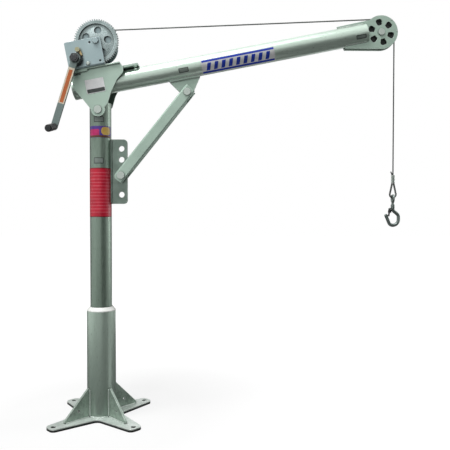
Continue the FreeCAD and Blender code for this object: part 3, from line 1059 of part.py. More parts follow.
def build_hook(x):
    bowl_z = LINE_END_Z - FERRULE_H - EYE_LENGTH
    rope_low = bowl_z - EYE_ROPE_R
    seat_z = rope_low + CABLE_R + RUN_FIT + THIMBLE_T + HOOK_SEAT_GAP
    eye_z = seat_z - HOOK_EYE_HOLE_R
    ring_r = HOOK_EYE_HOLE_R + HOOK_EYE_BAR_R
    ring = Part.makeTorus(ring_r, HOOK_EYE_BAR_R, V(x, 0, eye_z), V(1, 0, 0))
    shank_z = eye_z - ring_r
    centre_z = shank_z - HOOK_SHANK_L
    collar_up = HOOK_SHANK_L - HOOK_NECK_H
    path_points = [(0, collar_up - HOOK_COLLAR_H / 2), (0, HOOK_BEND_UP), (HOOK_BOWL_R, HOOK_BACK_UP),
                   (HOOK_BOWL_R, -HOOK_BOWL_R), (HOOK_TOE_X, -HOOK_BOWL_R), (HOOK_TIP_X, HOOK_TIP_Z)]
    points = [V(x + px, 0, centre_z + pz) for px, pz in path_points]
    path = rounded_path(points, (HOOK_BEND_R, HOOK_BEND_R, HOOK_HEEL_R, HOOK_TOE_R))
    bar = tube_along(path, HOOK_R)
    tip = Part.makeSphere(HOOK_R, points[-1])
    neck = Part.makeCylinder(HOOK_NECK_R, HOOK_NECK_H + HOOK_COLLAR_ROUND, V(x, 0, shank_z), UP * -1)
    collar = Part.makeCylinder(HOOK_COLLAR_R, HOOK_COLLAR_H, V(x, 0, centre_z + collar_up), UP * -1)
    collar = collar.makeFillet(HOOK_COLLAR_ROUND, [e for e in collar.Edges if e.Closed])
    pivot = V(x - LATCH_PIVOT_OUT, 0, centre_z + LATCH_PIVOT_UP)
    boss = rod_y(pivot.x, pivot.z, -HOOK_R, HOOK_R, LATCH_BOSS_R)
    boss = boss.fuse(box(pivot.x, x, -HOOK_NECK_R, HOOK_NECK_R, pivot.z - LATCH_BOSS_R, pivot.z + LATCH_BOSS_R))
    hook = bar.fuse(tip).fuse(ring).fuse(neck).fuse(collar).fuse(boss)
    bore_start = V(x - ring_r, 0, eye_z)
    hook = hook.cut(Part.makeCylinder(HOOK_EYE_HOLE_R, ring_r * 2, bore_start, V(1, 0, 0)))
    hook = hook.cut(rod_y(pivot.x, pivot.z, -HOOK_R * 2, HOOK_R * 2, LATCH_RIVET_D / 2)).removeSplitter()
    save("hook", max(hook.Solids, key=lambda s: s.Volume))
    ear_in = HOOK_R + SIDE_GAP
    ear_out = ear_in + LATCH_EAR_T
    save("latch_rivet", rod_y(pivot.x, pivot.z, -ear_out - LATCH_RIVET_HEAD, ear_out + LATCH_RIVET_HEAD,
                               LATCH_RIVET_D / 2))
    toe_lean = math.atan2(HOOK_TOE_X - HOOK_TIP_X, HOOK_TIP_Z + HOOK_BOWL_R)
    toe_reach = HOOK_R / math.cos(toe_lean) + LATCH_BELOW_TIP * math.tan(toe_lean)
    rest_x = x + HOOK_TIP_X + toe_reach + SIDE_GAP + LATCH_T
    rest = V(rest_x, 0, centre_z + HOOK_TIP_Z - LATCH_BELOW_TIP)
    lay = math.atan2(rest.z - pivot.z, rest.x - pivot.x)
    length = (rest - pivot).Length
    strip = box(LATCH_START, length, -ear_out, ear_out, -LATCH_T, 0)
    ears = None
    for y0 in (-ear_out, ear_in):
        ear = box(0, LATCH_START + LATCH_EAR_R, y0, y0 + LATCH_EAR_T, -LATCH_EAR_R, LATCH_EAR_R)
        ear = ear.fuse(rod_y(0, 0, y0, y0 + LATCH_EAR_T, LATCH_EAR_R))
        ears = ear if ears is None else ears.fuse(ear)
    latch = strip.fuse(ears).cut(rod_y(0, 0, -ear_out * 2, ear_out * 2, LATCH_RIVET_D / 2 + RUN_FIT))
    latch = latch.removeSplitter()
    latch.rotate(V(0, 0, 0), ACROSS, -math.degrees(lay))
    latch.translate(pivot)
    save("hook_latch", latch)
    print("hook swing axis z", round(rope_low, 2), "latch pivot", round(pivot.x, 2), round(pivot.z, 2),
          "hook bottom z", round(hook.BoundBox.ZMin, 1), "bowl centre z", round(centre_z, 2))


build_base()
build_mast()
build_head()
build_boom()
build_strut()
build_winch_frame()
build_drum()
build_crank()
build_pawl()
build_sheave()
line_x = build_cable()
build_line_end(line_x)
build_hook(line_x)
save("boom_nuts", *[on_boom(nut) for nut in nuts])
print(len(names), "nodes")
for label, spot in (("drum", boom_point(DRUM_X, DRUM_Z)), ("crank", boom_point(PINION_X, PINION_Z)),
                    ("sheave", boom_point(SHEAVE_X, SHEAVE_Z)), ("pawl", boom_point(*pawl_spot())),
                    ("strut pin", boom_point(LUG_PIN_X, LUG_PIN_Z))):
    print(label, "axis at", round(spot.x, 3), round(spot.z, 3))
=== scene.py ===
"""Davit crane: the looks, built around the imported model. Sizes in millimetres are turned to metres by MM."""
import math

import bmesh
import bpy
from mathutils import Matrix, Vector


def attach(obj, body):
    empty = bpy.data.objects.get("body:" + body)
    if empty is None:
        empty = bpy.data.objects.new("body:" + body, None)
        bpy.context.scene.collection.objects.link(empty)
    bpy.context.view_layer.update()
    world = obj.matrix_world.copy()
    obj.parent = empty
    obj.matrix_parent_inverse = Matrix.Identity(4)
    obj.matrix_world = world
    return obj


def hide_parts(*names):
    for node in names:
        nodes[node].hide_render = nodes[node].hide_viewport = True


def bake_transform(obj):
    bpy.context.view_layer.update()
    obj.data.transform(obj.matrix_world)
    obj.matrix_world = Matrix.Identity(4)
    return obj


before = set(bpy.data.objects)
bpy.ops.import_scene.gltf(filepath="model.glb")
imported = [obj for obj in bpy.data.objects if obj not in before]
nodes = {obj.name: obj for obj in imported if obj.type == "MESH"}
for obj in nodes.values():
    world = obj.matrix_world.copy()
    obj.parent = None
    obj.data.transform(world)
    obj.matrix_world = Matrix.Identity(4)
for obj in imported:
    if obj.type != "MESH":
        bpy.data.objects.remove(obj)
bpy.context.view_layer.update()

MM = 0.001

# Places and sizes of the object, as in the model, in millimetres
MAST_R = 38.1
SLEEVE_R = 50.8
BASE_T = 10.0
PIVOT_Z = 1093.0
BOOM_ANGLE = math.radians(11.07)
BOOM_R = 35.0
BOOM_AXIS = 92.5
CHEEK_OUT_Y = 45.0
FRAME_FRONT_Y = -60.0
DRUM = (-3.434, 1326.689)
SHEAVE = (998.536, 1374.464)
CRANK = (-68.715, 1259.402)
ARM_END = (-141.274, 1026.441)
ARM_FRONT_Y = -86.85
LINE_X = 1048.536
LINE_END_Z = 868.0
FERRULE_LOW_Z = 841.0
EYE_Z = 799.0
EYE_R = 11.85
EYE_LEG = 2.7
CABLE_R = 2.4
LAYER_R = 53.0
LAYER_LOOPS = 6
LAYER_PITCH = 5.4
CORE_R = 50.5
DRUM_HALF_W = 37.0
ROPE_R = 50.0
CLIMB = math.radians(2.559)

AHEAD = Vector((math.cos(BOOM_ANGLE), 0, math.sin(BOOM_ANGLE)))
SQUARE = Vector((-math.sin(BOOM_ANGLE), 0, math.cos(BOOM_ANGLE)))

# Names of the material slots
ZINC_SLOT = "zinc_plated_steel"
CABLE_SLOT = "cable_steel"


def boom_point(u, v, y):
    """A point at u along the boom and v square to it, from the luffing pivot."""
    return Vector((0, y, PIVOT_Z)) + AHEAD * u + SQUARE * v


# Materials, with lengths in metres

SPECK_SHARE = 0.35
# Painted shade: the near-black that colours a surface darker towards the bottom.
LOW_SHADE_COLOUR = (0.012, 0.014, 0.012)
# Painted shade in crevices: how much of the darker tone stays where ambient occlusion darkens corners and
# gaps.
PAINTED_CREVICE_SHADE = 0.12
METAL_RELIEF = 0.0004
METAL_ROUGH_SPAN = 0.07
COATING_RELIEF = 0.0003
COATING_PATCH = 40.0
COATING_ROUGH_SPAN = 0.08


def start_material(name):
    mat = bpy.data.materials.new(name)
    mat.use_nodes = True
    tree = mat.node_tree
    return mat, tree, tree.nodes["Principled BSDF"]


def add(tree, kind, **values):
    node = tree.nodes.new(kind)
    for key, value in values.items():
        setattr(node, key, value)
    return node


def noise(tree, coords, scale, detail=3.0, stretch=(1, 1, 1), turn=0.0):
    mapping = add(tree, "ShaderNodeMapping")
    mapping.inputs["Scale"].default_value = stretch
    mapping.inputs["Rotation"].default_value = (0, turn, 0)
    tree.links.new(coords.outputs["Object"], mapping.inputs["Vector"])
    node = add(tree, "ShaderNodeTexNoise")
    node.inputs["Scale"].default_value = scale
    node.inputs["Detail"].default_value = detail
    tree.links.new(mapping.outputs["Vector"], node.inputs["Vector"])
    return node


def ramp(tree, source, stops):
    node = add(tree, "ShaderNodeValToRGB")
    band = node.color_ramp
    while len(band.elements) < len(stops):
        band.elements.new(0.5)
    for element, (place, colour) in zip(band.elements, stops):
        element.position = place
        element.color = (*colour, 1)
    tree.links.new(source, node.inputs["Fac"])
    return node


def spread(tree, source, low, high, in_low=0.3, in_high=0.7):
    node = add(tree, "ShaderNodeMapRange")
    node.inputs["From Min"].default_value = in_low
    node.inputs["From Max"].default_value = in_high
    node.inputs["To Min"].default_value = low
    node.inputs["To Max"].default_value = high
    tree.links.new(source, node.inputs["Value"])
    return node


def mix_colour(tree, factor, a, b):
    node = add(tree, "ShaderNodeMix", data_type="RGBA")
    for socket, value in ((node.inputs["Factor"], factor), (node.inputs[6], a), (node.inputs[7], b)):
        if isinstance(value, tuple):
            socket.default_value = (*value, 1)
        elif isinstance(value, float):
            socket.default_value = value
        else:
            tree.links.new(value, socket)
    return node.outputs[2]


def edge_mask(tree, radius, low, high):
    """How far a rounded normal turns from the face's own: high along edges and corners."""
    soft = add(tree, "ShaderNodeBevel", samples=4)
    soft.inputs["Radius"].default_value = radius
    flat = add(tree, "ShaderNodeNewGeometry")
    dot = add(tree, "ShaderNodeVectorMath", operation="DOT_PRODUCT")
    tree.links.new(soft.outputs["Normal"], dot.inputs[0])
    tree.links.new(flat.outputs["Normal"], dot.inputs[1])
    return spread(tree, dot.outputs["Value"], 1.0, 0.0, low, high).outputs["Result"]


def metal(name, colour, shade, metallic, rough, patch=14.0, grain=420.0, bump=0.12, stretch=(1, 1, 1),
          turn=0.0, edge=None, edge_r=0.0022, round_r=0.0007, spangle=0.0, low_shade=None, ao_shade_reach=0.008):
    """Steel with patches and grain, and where asked with spangle, pale edges that are partly wear and partly a
    painted highlight, painted shade towards the bottom and painted shade in crevices.
    """
    mat, tree, shader = start_material(name)
    coords = add(tree, "ShaderNodeTexCoord")
    broad = noise(tree, coords, patch, 4.0, stretch, turn)
    patches = ramp(tree, broad.outputs["Fac"], ((0.32, shade), (0.68, colour))).outputs["Color"]
    fine = noise(tree, coords, grain, 3.0, stretch, turn)
    specks = ramp(tree, fine.outputs["Fac"], ((0.35, shade), (0.62, colour))).outputs["Color"]
    tint = mix_colour(tree, SPECK_SHARE, patches, specks)
    if spangle:
        cells = add(tree, "ShaderNodeTexVoronoi")
        cells.inputs["Scale"].default_value = spangle
        tree.links.new(coords.outputs["Object"], cells.inputs["Vector"])
        level = spread(tree, cells.outputs["Color"], 0.0, 0.3, 0.2, 0.8).outputs["Result"]
        tint = mix_colour(tree, level, tint, tuple(min(1.0, 1.5 * c) for c in colour))
    # Pale edges: partly wear, partly a painted highlight where edges would catch the light.
    if edge:
        mask = edge_mask(tree, edge_r, 0.86, 0.99)
        breaks = spread(tree, broad.outputs["Fac"], 0.25, 0.9).outputs["Result"]
        wear_and_highlight = add(tree, "ShaderNodeMath", operation="MULTIPLY")
        tree.links.new(mask, wear_and_highlight.inputs[0])
        tree.links.new(breaks, wear_and_highlight.inputs[1])
        tint = mix_colour(tree, wear_and_highlight.outputs[0], tint, edge)
    # Painted shade: below high_z the colour darkens towards this near-black, most of all below low_z.
    if low_shade:
        low_z, high_z, share = low_shade
        apart = add(tree, "ShaderNodeSeparateXYZ")
        tree.links.new(coords.outputs["Object"], apart.inputs["Vector"])
        low_shade_level = spread(tree, apart.outputs["Z"], share, 0.0, low_z, high_z).outputs["Result"]
        tint = mix_colour(tree, low_shade_level, tint, LOW_SHADE_COLOUR)
    # Painted shade in crevices: ambient occlusion within the given reach darkens the colour in corners, gaps
    # and hollows.
    if ao_shade_reach:
        near = add(tree, "ShaderNodeAmbientOcclusion", samples=6)
        near.inputs["Distance"].default_value = ao_shade_reach
        deep = spread(tree, near.outputs["AO"], 0.85, 0.0, 0.45, 0.9).outputs["Result"]
        tint = mix_colour(tree, deep, tint, tuple(PAINTED_CREVICE_SHADE * c for c in shade))
    tree.links.new(tint, shader.inputs["Base Color"])
    shader.inputs["Metallic"].default_value = metallic
    rough_node = spread(tree, fine.outputs["Fac"], rough - METAL_ROUGH_SPAN, rough + METAL_ROUGH_SPAN)
    tree.links.new(rough_node.outputs["Result"], shader.inputs["Roughness"])
    soft = add(tree, "ShaderNodeBevel", samples=4)
    soft.inputs["Radius"].default_value = round_r
    relief = add(tree, "ShaderNodeBump")
    relief.inputs["Strength"].default_value = bump
    relief.inputs["Distance"].default_value = METAL_RELIEF
    tree.links.new(fine.outputs["Fac"], relief.inputs["Height"])
    tree.links.new(soft.outputs["Normal"], relief.inputs["Normal"])
    tree.links.new(relief.outputs["Normal"], shader.inputs["Normal"])
    return mat


def coating(name, colour, shade, rough, grain=300.0, bump=0.05, coat=0.0):
    """Paint, film, plastic or lining with faint patches."""
    mat, tree, shader = start_material(name)
    coords = add(tree, "ShaderNodeTexCoord")
    broad = noise(tree, coords, COATING_PATCH, 4.0)
    tint = ramp(tree, broad.outputs["Fac"], ((0.3, shade), (0.6, colour))).outputs["Color"]
    tree.links.new(tint, shader.inputs["Base Color"])
    fine = noise(tree, coords, grain, 3.0)
    rough_node = spread(tree, fine.outputs["Fac"], rough - COATING_ROUGH_SPAN, rough + COATING_ROUGH_SPAN)
    tree.links.new(rough_node.outputs["Result"], shader.inputs["Roughness"])
    shader.inputs["Coat Weight"].default_value = coat
    relief = add(tree, "ShaderNodeBump")
    relief.inputs["Strength"].default_value = bump
    relief.inputs["Distance"].default_value = COATING_RELIEF
    tree.links.new(fine.outputs["Fac"], relief.inputs["Height"])
    tree.links.new(relief.outputs["Normal"], shader.inputs["Normal"])
    return mat


ZINC = (0.46, 0.60, 0.51)
ZINC_SHADE = (0.38, 0.51, 0.43)
PALE_EDGE = (0.78, 0.85, 0.80)
ALONG_MAST = (1, 1, 0.12)
ALONG_BOOM = (0.12, 1, 1)

plate_steel = metal("zinc_plate", ZINC, ZINC_SHADE, metallic=0.4, rough=0.42, edge=PALE_EDGE)
# The rear head plate: the plate zinc with a long crevice reach, painted shade on its inner face towards the
# front plate.
shaded_cheek_steel = metal("zinc_cheek", ZINC, ZINC_SHADE, metallic=0.4, rough=0.42, edge=PALE_EDGE, ao_shade_reach=0.11)
# The upright tube and the boom are one zinc in a shaded and a lit copy: the upright's darker tone is painted
# shade, the boom's paler tone painted light.
shaded_tube_steel = metal("zinc_tube_upright", (0.25, 0.325, 0.27), (0.165, 0.225, 0.18), metallic=0.5, rough=0.34,
                   patch=22.0, stretch=ALONG_MAST, edge=PALE_EDGE)
lit_boom_steel = metal("zinc_tube_boom", (0.64, 0.77, 0.68), (0.54, 0.66, 0.575), metallic=0.5, rough=0.34,
                   patch=22.0, stretch=ALONG_BOOM, turn=BOOM_ANGLE, edge=PALE_EDGE)
# The sleeve darkens towards the floor: painted shade.
sleeve_steel = metal("zinc_sleeve", (0.50, 0.62, 0.535), (0.39, 0.50, 0.42), metallic=0.45, rough=0.34,
                     patch=22.0, stretch=ALONG_MAST, edge=PALE_EDGE, low_shade=(0.02, 0.34, 0.4))
luff_steel = metal("luff_plate", (0.24, 0.315, 0.27), (0.13, 0.18, 0.15), metallic=0.4, rough=0.4,
                   patch=26.0, edge=PALE_EDGE, edge_r=0.003)
# The base plate and its braces are one galvanised steel in a lit and a shaded copy: the plate's paler tone is
# painted light, the braces' darker tone painted shade. The plate's darkening along its bottom edge is a
# painted contact shadow.
lit_base_steel = metal("galvanised", (0.78, 0.86, 0.81), (0.50, 0.59, 0.53), metallic=0.35, rough=0.36,
                   patch=30.0, edge=(0.90, 0.94, 0.91), edge_r=0.004, spangle=170.0,
                   low_shade=(0.0058, 0.0078, 0.97))
shaded_brace_steel = metal("galvanised_brace", (0.36, 0.45, 0.385), (0.19, 0.25, 0.205), metallic=0.4, rough=0.36,
                    patch=34.0, edge=(0.84, 0.90, 0.86), edge_r=0.0048, spangle=150.0)
winch_steel = metal("winch_zinc", (0.40, 0.51, 0.52), (0.32, 0.42, 0.435), metallic=0.4, rough=0.38,
                    edge=(0.78, 0.84, 0.85))
# The gear's wide spread from pale to dark patches is partly tone, partly a painted mottled reflection.
gear_steel_tone_and_sheen = metal("gear_zinc", (0.50, 0.60, 0.60), (0.20, 0.26, 0.25), metallic=0.6, rough=0.3, patch=26.0,
                   edge=(0.82, 0.87, 0.87), ao_shade_reach=0.018)
arm_steel = metal("crank_steel", (0.235, 0.30, 0.285), (0.15, 0.20, 0.19), metallic=0.4, rough=0.4,
                  edge=(0.55, 0.62, 0.60))
dark_steel = metal("dark_steel", (0.055, 0.06, 0.062), (0.035, 0.038, 0.04), metallic=0.5, rough=0.42,
                   edge=(0.22, 0.23, 0.23))
sheave_black = metal("sheave_black", (0.026, 0.028, 0.028), (0.016, 0.018, 0.018), metallic=0.0, rough=0.6,
                     edge=(0.08, 0.085, 0.083))
bright_steel = metal("bright_steel", (0.55, 0.62, 0.57), (0.42, 0.48, 0.44), metallic=0.5, rough=0.34,
                     grain=700.0, edge=(0.85, 0.88, 0.86))
hook_steel = metal("hook_steel", (0.23, 0.275, 0.255), (0.11, 0.14, 0.13), metallic=0.5, rough=0.33,
                   grain=600.0, bump=0.2, edge=(0.6, 0.63, 0.61))
cable_steel = metal("cable_steel", (0.15, 0.16, 0.155), (0.06, 0.065, 0.062), metallic=0.4, rough=0.4,
                    patch=300.0, grain=1500.0, round_r=0.0002, ao_shade_reach=0.0)
brass = metal("brass", (0.62, 0.48, 0.24), (0.48, 0.36, 0.17), metallic=0.6, rough=0.3,
              edge=(0.85, 0.72, 0.45))
weld_steel = metal("weld_bead", (0.58, 0.65, 0.60), (0.38, 0.44, 0.40), metallic=0.35, rough=0.34,
                   patch=120.0, grain=900.0, bump=0.3, ao_shade_reach=0.0)
bush_plastic = coating("bush_plastic", (0.55, 0.56, 0.54), (0.45, 0.46, 0.44), rough=0.45)
ring_steel = metal("bright_ring", (0.95, 0.96, 0.93), (0.86, 0.88, 0.84), metallic=0.0, rough=0.45,
                   edge=(0.97, 0.97, 0.95), ao_shade_reach=0.003)
yellow_zinc = metal("yellow_zinc", (0.44, 0.43, 0.27), (0.30, 0.30, 0.19), metallic=0.6, rough=0.34,
                    edge=(0.7, 0.7, 0.55))
friction = coating("friction_lining", (0.10, 0.075, 0.055), (0.045, 0.035, 0.028), rough=0.75, grain=900.0,
                   bump=0.4)
grip_black = coating("black_grip", (0.018, 0.018, 0.019), (0.010, 0.010, 0.011), rough=0.42, grain=900.0,
                     bump=0.15)
orange_film = coating("orange_film", (0.56, 0.155, 0.045), (0.43, 0.105, 0.03), rough=0.4)
cream_film = coating("cream_film", (0.78, 0.70, 0.56), (0.66, 0.59, 0.46), rough=0.45)
white_film = coating("white_film", (0.82, 0.83, 0.83), (0.72, 0.73, 0.74), rough=0.32)
blue_film = coating("blue_film", (0.012, 0.05, 0.50), (0.008, 0.035, 0.36), rough=0.32)
red_film = coating("red_film", (0.62, 0.012, 0.04), (0.47, 0.008, 0.03), rough=0.36)
pink_film = coating("pink_film", (0.72, 0.10, 0.14), (0.58, 0.06, 0.09), rough=0.36)
dark_red_film = coating("dark_red_film", (0.24, 0.004, 0.014), (0.17, 0.003, 0.010), rough=0.4)
magenta_film = coating("magenta_film", (0.60, 0.03, 0.17), (0.46, 0.02, 0.12), rough=0.36)
violet_film = coating("violet_film", (0.10, 0.045, 0.32), (0.07, 0.03, 0.24), rough=0.36)
yellow_film = coating("yellow_film", (0.75, 0.50, 0.13), (0.60, 0.38, 0.08), rough=0.38)
brown_film = coating("brown_film", (0.13, 0.045, 0.02), (0.08, 0.028, 0.012), rough=0.4)
tag_dark = coating("tag_dark", (0.05, 0.06, 0.058), (0.028, 0.034, 0.032), rough=0.45)
tag_grey = coating("tag_grey", (0.24, 0.29, 0.26), (0.17, 0.21, 0.19), rough=0.4)
silver_film = coating("silver_film", (0.86, 0.87, 0.87), (0.72, 0.74, 0.74), rough=0.3, coat=0.3)

LOOK = {
    plate_steel: "head_plate_front boom_saddles head_top_plate sheave_plate_rear sheave_plate_front "
                 "strut_lug winch_seat strut_channel mast_pivot_sleeve mast_foot_plug",
    shaded_cheek_steel: "head_plate_rear",
    arm_steel: "crank_arm",
    gear_steel_tone_and_sheen: "drum_gear",
    luff_steel: "luff_plate",
    shaded_tube_steel: "mast_tube",
    sleeve_steel: "base_sleeve",
    lit_boom_steel: "boom_tube",
    lit_base_steel: "base_plate",
    shaded_brace_steel: "base_braces",
    yellow_zinc: "pawl_pin",
    ring_steel: "socket_top_bush",
    winch_steel: "winch_frame winch_drum drum_axle",
    dark_steel: "drive_pinion shaft_collar ratchet_wheel brake_hub crank_nut hook_latch grip_pin drive_shaft",
    sheave_black: "sheave_wheel",
    bright_steel: "pivot_bolt boom_nuts sheave_axle cable_keepers winch_bolts pawl_spring "
                  "cable_ferrule cable_thimble latch_rivet strut_upper_pin strut_upper_clip strut_lock_pin",
    hook_steel: "hook",
    cable_steel: "cable_boom_run cable_sheave_wrap cable_hanging_run cable_eye cable_outer_layer "
                 "cable_lower_layers",
    brass: "drum_bush ratchet_pawl sheave_bush",
    bush_plastic: "socket_foot_bush socket_thrust_washer",
    friction: "friction_disc",
    grip_black: "crank_grip",
}
for mat, text in LOOK.items():
    for name in text.split():
        slots = nodes[name].data.materials
        slots.clear()
        slots.append(mat)

# Pieces made here, with points in millimetres


def new_piece(name, verts, faces, mat, body, slot, smooth=True):
    """A mesh piece with its material, riding on a body unless that is left to the caller. The slot argument is
    not used.
    """
    mesh = bpy.data.meshes.new(name)
    mesh.from_pydata([Vector(v) * MM for v in verts], [], faces)
    mesh.materials.append(mat)
    shell = bmesh.new()
    shell.from_mesh(mesh)
    bmesh.ops.recalc_face_normals(shell, faces=shell.faces)
    shell.to_mesh(mesh)
    shell.free()
    for polygon in mesh.polygons:
        polygon.use_smooth = smooth
    mesh.update()
    piece = bpy.data.objects.new(name, mesh)
    bpy.context.scene.collection.objects.link(piece)
    if body:
        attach(piece, body)
    return piece


def frames_along(points):
    """A normal and a side for each point, carried along without twisting."""
    count = len(points)
    tangents = []
    for i in range(count):
        ahead = points[min(i + 1, count - 1)] - points[max(i - 1, 0)]
        tangents.append(ahead.normalized())
    start = Vector((0, 1, 0)) if abs(tangents[0].y) < 0.9 else Vector((1, 0, 0))
    normal = (start - tangents[0] * start.dot(tangents[0])).normalized()
    result = []
    for tangent in tangents:
        normal = (normal - tangent * normal.dot(tangent)).normalized()
        result.append((normal, tangent.cross(normal)))
    return result


def skin(rings, closed=False):
    """Vertices and faces of a tube through rings of equal count, capped at both ends unless closed."""
    count = len(rings[0])
    verts = [point for ring in rings for point in ring]
    faces = []
    for i in range(len(rings) - (0 if closed else 1)):
        low = i * count
        high = (i + 1) % len(rings) * count
        for k in range(count):
            after = (k + 1) % count
            faces.append((low + k, low + after, high + after, high + k))
    if not closed:
        faces.append(tuple(reversed(range(count))))
        faces.append(tuple(range(len(verts) - count, len(verts))))
    return verts, faces


def joined(parts):
    """Several sets of vertices and faces as one."""
    verts = []
    faces = []
    for part_verts, part_faces in parts:
        shift = len(verts)
        verts += part_verts
        faces += [tuple(i + shift for i in face) for face in part_faces]
    return verts, faces


LOBES = 6
LOBE_STEPS = 4
LAY = 36.0
ROPE_STEP = 1.2


def rope(points):
    """A laid wire rope: six strands about the line, turning once in each lay."""
    strand_out = CABLE_R * 2 / 3
    strand_r = CABLE_R / 3
    profile = []
    for k in range(LOBES * LOBE_STEPS):
        lean = ((k % LOBE_STEPS) / LOBE_STEPS - 0.5) * 2 * math.pi / LOBES
        side = strand_out * math.sin(lean)
        reach = strand_out * math.cos(lean) + math.sqrt(max(0.0, strand_r ** 2 - side ** 2))
        profile.append((k * 2 * math.pi / (LOBES * LOBE_STEPS), reach))
    rings = []
    travelled = 0.0
    for i, (point, (normal, side)) in enumerate(zip(points, frames_along(points))):
        if i:
            travelled += (point - points[i - 1]).length
        turn = 2 * math.pi * travelled / LAY
        rings.append([point + (normal * math.cos(a + turn) + side * math.sin(a + turn)) * r
                      for a, r in profile])
    return skin(rings)


def rope_piece(name, points, body):
    return new_piece(name, *rope(points), cable_steel, body, CABLE_SLOT)


def line_points(start, end, step=ROPE_STEP):
    count = max(2, int(round((end - start).length / step)) + 1)
    return [start.lerp(end, i / (count - 1)) for i in range(count)]


def arc_points(centre, radius, first, last):
    """Points of an arc in the upright plane, angles from +X towards +Z."""
    count = max(3, int(round(abs(last - first) * radius / ROPE_STEP)) + 1)
    points = []
    for i in range(count):
        angle = first + (last - first) * i / (count - 1)
        points.append(Vector((centre[0] + radius * math.cos(angle), 0, centre[1] + radius * math.sin(angle))))
    return points


out = Vector((-math.sin(CLIMB), 0, math.cos(CLIMB)))
leave_drum = Vector((DRUM[0], 0, DRUM[1])) + out * LAYER_R
meet_sheave = Vector((SHEAVE[0], 0, SHEAVE[1])) + out * ROPE_R
leave_sheave = Vector((LINE_X, 0, SHEAVE[1]))
line_end = Vector((LINE_X, 0, LINE_END_Z))
leave_angle = math.pi / 2 + CLIMB

boom_run = rope_piece("rope_boom_run", line_points(leave_drum, meet_sheave), "boom")
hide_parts("cable_boom_run")

wrap = rope_piece("rope_sheave_wrap", arc_points(SHEAVE, ROPE_R, leave_angle, 0.0), None)
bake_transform(wrap)
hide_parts("cable_sheave_wrap")

into_ferrule = Vector((0, 0, 3.0))
hanging = rope_piece("rope_hanging_run", line_points(leave_sheave, line_end - into_ferrule), None)
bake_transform(hanging)
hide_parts("cable_hanging_run")

eye_drop = FERRULE_LOW_Z - EYE_Z
eye_lean = math.asin(EYE_R / math.hypot(eye_drop, EYE_LEG)) - math.atan2(EYE_LEG, eye_drop)
eye_round = arc_points((LINE_X, EYE_Z), EYE_R, eye_lean, -math.pi - eye_lean)
right_leg = line_points(Vector((LINE_X + EYE_LEG, 0, FERRULE_LOW_Z)) + into_ferrule, eye_round[0])
left_leg = line_points(eye_round[-1], Vector((LINE_X - EYE_LEG, 0, FERRULE_LOW_Z)) + into_ferrule)
eye = rope_piece("rope_eye", right_leg[:-1] + eye_round + left_leg[1:], "line_end")
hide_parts("cable_eye")


def winding(radius, first_y, pitch, loops, step_angle):
    """A helix about the drum that ends where the cable leaves it."""
    count = int(round(loops * 2 * math.pi / step_angle)) + 1
    points = []
    for i in range(count):
        done = loops * i / (count - 1)
        angle = leave_angle + 2 * math.pi * (loops - done)
        points.append(Vector((DRUM[0] + radius * math.cos(angle), first_y + pitch * done,
                              DRUM[1] + radius * math.sin(angle))))
    return points


OUTER_STEP = math.radians(1.6)
outer_points = winding(LAYER_R, -LAYER_LOOPS * LAYER_PITCH, LAYER_PITCH, LAYER_LOOPS, OUTER_STEP)
outer = rope_piece("rope_outer_layer", outer_points, "drum")
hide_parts("cable_outer_layer")

UNDER_STEP = math.radians(2.4)
UNDER_PITCH = 4.95
UNDER_LOOPS = 7
CORE_SIDES = 96
CORE_BORE_R = 30.2
CORE_GROOVE_R = 46.5
CORE_RIDGE = 1.2
CORE_RIDGES = 15
under_y = DRUM_HALF_W - CABLE_R - UNDER_PITCH * UNDER_LOOPS
under_rope = rope(winding(CORE_R - CABLE_R, under_y, UNDER_PITCH, UNDER_LOOPS, UNDER_STEP))
core_profile = [(CORE_BORE_R, -DRUM_HALF_W)]
for k in range(2 * CORE_RIDGES + 1):
    ridge_r = CORE_GROOVE_R + CORE_RIDGE * abs(math.cos(math.pi * k / 2))
    core_profile.append((ridge_r, -DRUM_HALF_W + k * DRUM_HALF_W / CORE_RIDGES))
core_profile.append((CORE_BORE_R, DRUM_HALF_W))
core_rings = []
for k in range(CORE_SIDES):
    angle = 2 * math.pi * k / CORE_SIDES
    core_rings.append([Vector((DRUM[0] + r * math.cos(angle), y, DRUM[1] + r * math.sin(angle)))
                       for r, y in core_profile])
under_shape = joined([under_rope, skin(core_rings, closed=True)])
under = new_piece("rope_lower_layers", *under_shape, cable_steel, "drum", CABLE_SLOT)
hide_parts("cable_lower_layers")

DEAD_END_L = 17.0
DEAD_END_LEAN = math.radians(24)
DEAD_KNEE_RISE = 3.0
DEAD_KNEE_OUT = 3.6
dead_start = Vector((LINE_X - EYE_LEG, 0, LINE_END_Z - DEAD_KNEE_RISE))
dead_knee = Vector((LINE_X - DEAD_KNEE_OUT, 0, LINE_END_Z + DEAD_KNEE_RISE))
dead_way = Vector((-math.sin(DEAD_END_LEAN), 0, math.cos(DEAD_END_LEAN)))
dead_tip = dead_knee + dead_way * (DEAD_END_L - 2 * DEAD_KNEE_RISE)
dead_points = line_points(dead_start, dead_knee) + line_points(dead_knee, dead_tip)[1:]
rope_piece("rope_dead_end", dead_points, "line_end")

# Grip and small fasteners, turned about an axis


def lathe(origin, axis, profile, sides):
    """A solid of revolution. The profile is a closed run of (distance along the axis, radius)."""
    axis = axis.normalized()
    across = Vector((1, 0, 0)) if abs(axis.x) < 0.9 else Vector((0, 0, 1))
    across = (across - axis * across.dot(axis)).normalized()
    other = axis.cross(across)
    rings = []
    for k in range(sides):
        angle = 2 * math.pi * k / sides
        out_way = across * math.cos(angle) + other * math.sin(angle)
        rings.append([origin + axis * along + out_way * radius for along, radius in profile])
    return skin(rings, closed=True)


